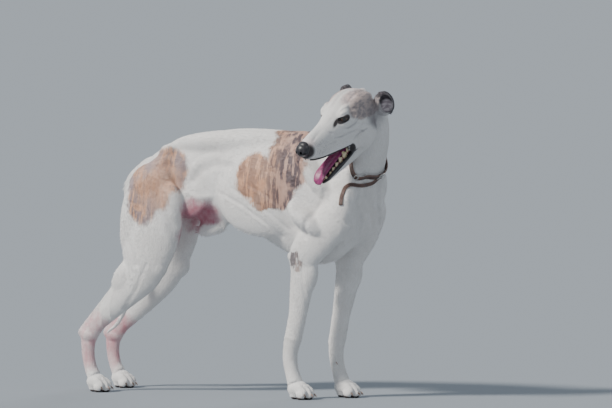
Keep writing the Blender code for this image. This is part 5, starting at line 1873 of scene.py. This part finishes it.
def camera():
    """Seven metres off and half a metre up, looking level at the right side, turned a little to the front."""
    back = Vector((math.sin(CAMERA_TURN), -math.cos(CAMERA_TURN), 0))
    bpy.ops.object.camera_add(
        location=back * CAMERA_AWAY + Vector((STANCE_SHIFT.x, STANCE_SHIFT.y, CAMERA_HEIGHT)),
        rotation=(math.radians(90), 0, CAMERA_TURN),
    )
    cam = bpy.context.object
    cam.data.sensor_width = 36
    cam.data.sensor_fit = "HORIZONTAL"
    cam.data.lens = CAMERA_FOCUS * 36
    cam.data.shift_x, cam.data.shift_y = CAMERA_SHIFT
    cam.data.clip_end = 200
    bpy.context.scene.camera = cam


# The dog


FLESH = (
    "chest", "loin", "neck", "head", "jaw", "ear_left", "ear_right", "tail_upper", "tail_lower",
    *(f"{part}_{side}" for part in ("foreleg", "forepaw", "thigh", "shank", "hindpaw") for side in ("left", "right")),
)
group = markings_and_shade()
skin_look = coat_paint("coat_skin", group, False)
hair_look = coat_paint("coat_hair", group, True)
black_skin = plain_paint(
    "black_skin", (0.008, 0.007, 0.009), (0.030, 0.024, 0.028), 240, 0.34, Coat_Weight=0.3, Coat_Roughness=0.3,
)
mouth_look = plain_paint(
    "mouth_lining", (0.16, 0.035, 0.050), (0.34, 0.10, 0.12), 90, 0.34, Coat_Weight=0.4, Coat_Roughness=0.2,
)
tongue_look = plain_paint(
    "tongue", (0.20, 0.018, 0.105), (0.34, 0.045, 0.165), 120, 0.40, (0.55, 0.0007),
    Coat_Weight=0.15, Coat_Roughness=0.35, Subsurface_Weight=0.05, Subsurface_Scale=0.01,
)
tooth_look = plain_paint(
    "tooth_enamel", (0.60, 0.48, 0.26), (0.78, 0.69, 0.48), 150, 0.28, (0.1, 0.0002),
    Coat_Weight=0.5, Coat_Roughness=0.1,
)
horn_look = plain_paint("claw_horn", (0.10, 0.065, 0.050), (0.42, 0.30, 0.25), 130, 0.36, (0.3, 0.0003), (1, 1, 0.2))
pad_look = plain_paint("pad_leather", (0.020, 0.016, 0.017), (0.075, 0.055, 0.055), 110, 0.62, (0.7, 0.0010))
thread_look = plain_paint("waxed_thread", (0.30, 0.22, 0.16), (0.46, 0.36, 0.27), 600, 0.6, (0.4, 0.0002))
whisker_look = plain_paint("whisker", (0.55, 0.52, 0.50), (0.80, 0.78, 0.76), 200, 0.45, (0.1, 0.0001))

skin = skin_of_all()
# Painted shade for the folds: how far the lines sink each point, the body's lines counting for less
sunk = stroke_heights(skin, FACE_LINES, head_matrix().inverted()) + 0.12 * stroke_heights(skin, BODY_LINES)
note(skin, "fold", np.clip(-sunk / FOLD_DEPTH, 0, 1))
dress(skin, skin_look)
skin.data.materials.append(mouth_look)
alone(skin)
bpy.ops.object.mode_set(mode="EDIT")
bpy.ops.mesh.select_all(action="SELECT")
bpy.ops.mesh.uv_texture_add()
bpy.ops.uv.smart_project(angle_limit=1.15, island_margin=0.002)
closed(skin)
skin.data.uv_layers[0].name = "OFBake"

finished(dress(collar_band(skin), leather_paint()), "collar", "collar")
finished(dress(collar_tail(skin), leather_paint()), "collar", "collar_strap")
finished(dress(stitches(skin), thread_look), "collar")
steel = steel_paint()
finished(dress(keeper(skin), leather_paint()), "collar")
finished(dress(fitting("ring", skin, RING_AT, 0.0095, 0.0205, 0.0014, False), steel), "metal", "collar_ring")
finished(dress(fitting("buckle", skin, BUCKLE_AT, 0.0165, 0.0225, 0.0016, True), steel), "metal", "collar_buckle")

finished(skin, "coat", *FLESH)
for side in ("left", "right"):
    finished(dress(eyeball(side), eye_paint()), "eye", f"eye_{side}")
finished(dress(eyelid_rims(), black_skin), "nose")
finished(dress(lips(), black_skin), "nose")
finished(dress(gums(), mouth_look), "tongue")
finished(dress(teeth(), tooth_look), "coat")
finished(dress(tongue(), tongue_look), "tongue", "tongue")
finished(dress(nose_leather(), nose_paint()), "nose", "nose")
finished(dress(whiskers(), whisker_look), "coat")
finished(dress(claws(), horn_look), "nose")
finished(dress(pads(), pad_look), "nose")

region, density, hair = comb(skin)
tuft = tuft_shape()
pieces = (
    ("coat_head", region == 0),
    ("coat_neck_and_forelegs", (region == 1) | (region == 3)),
    ("coat_trunk", region == 2),
    ("coat_hindlegs_and_tail", region == 4),
)
for seed, (name, wanted) in enumerate(pieces):
    piece = coat_piece(name, skin, wanted, density / (hair / MEAN_HAIR) ** 1.6, tuft, hair_look, seed + 1)
    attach(piece, "root")
bpy.data.objects.remove(tuft)

stage()
camera()
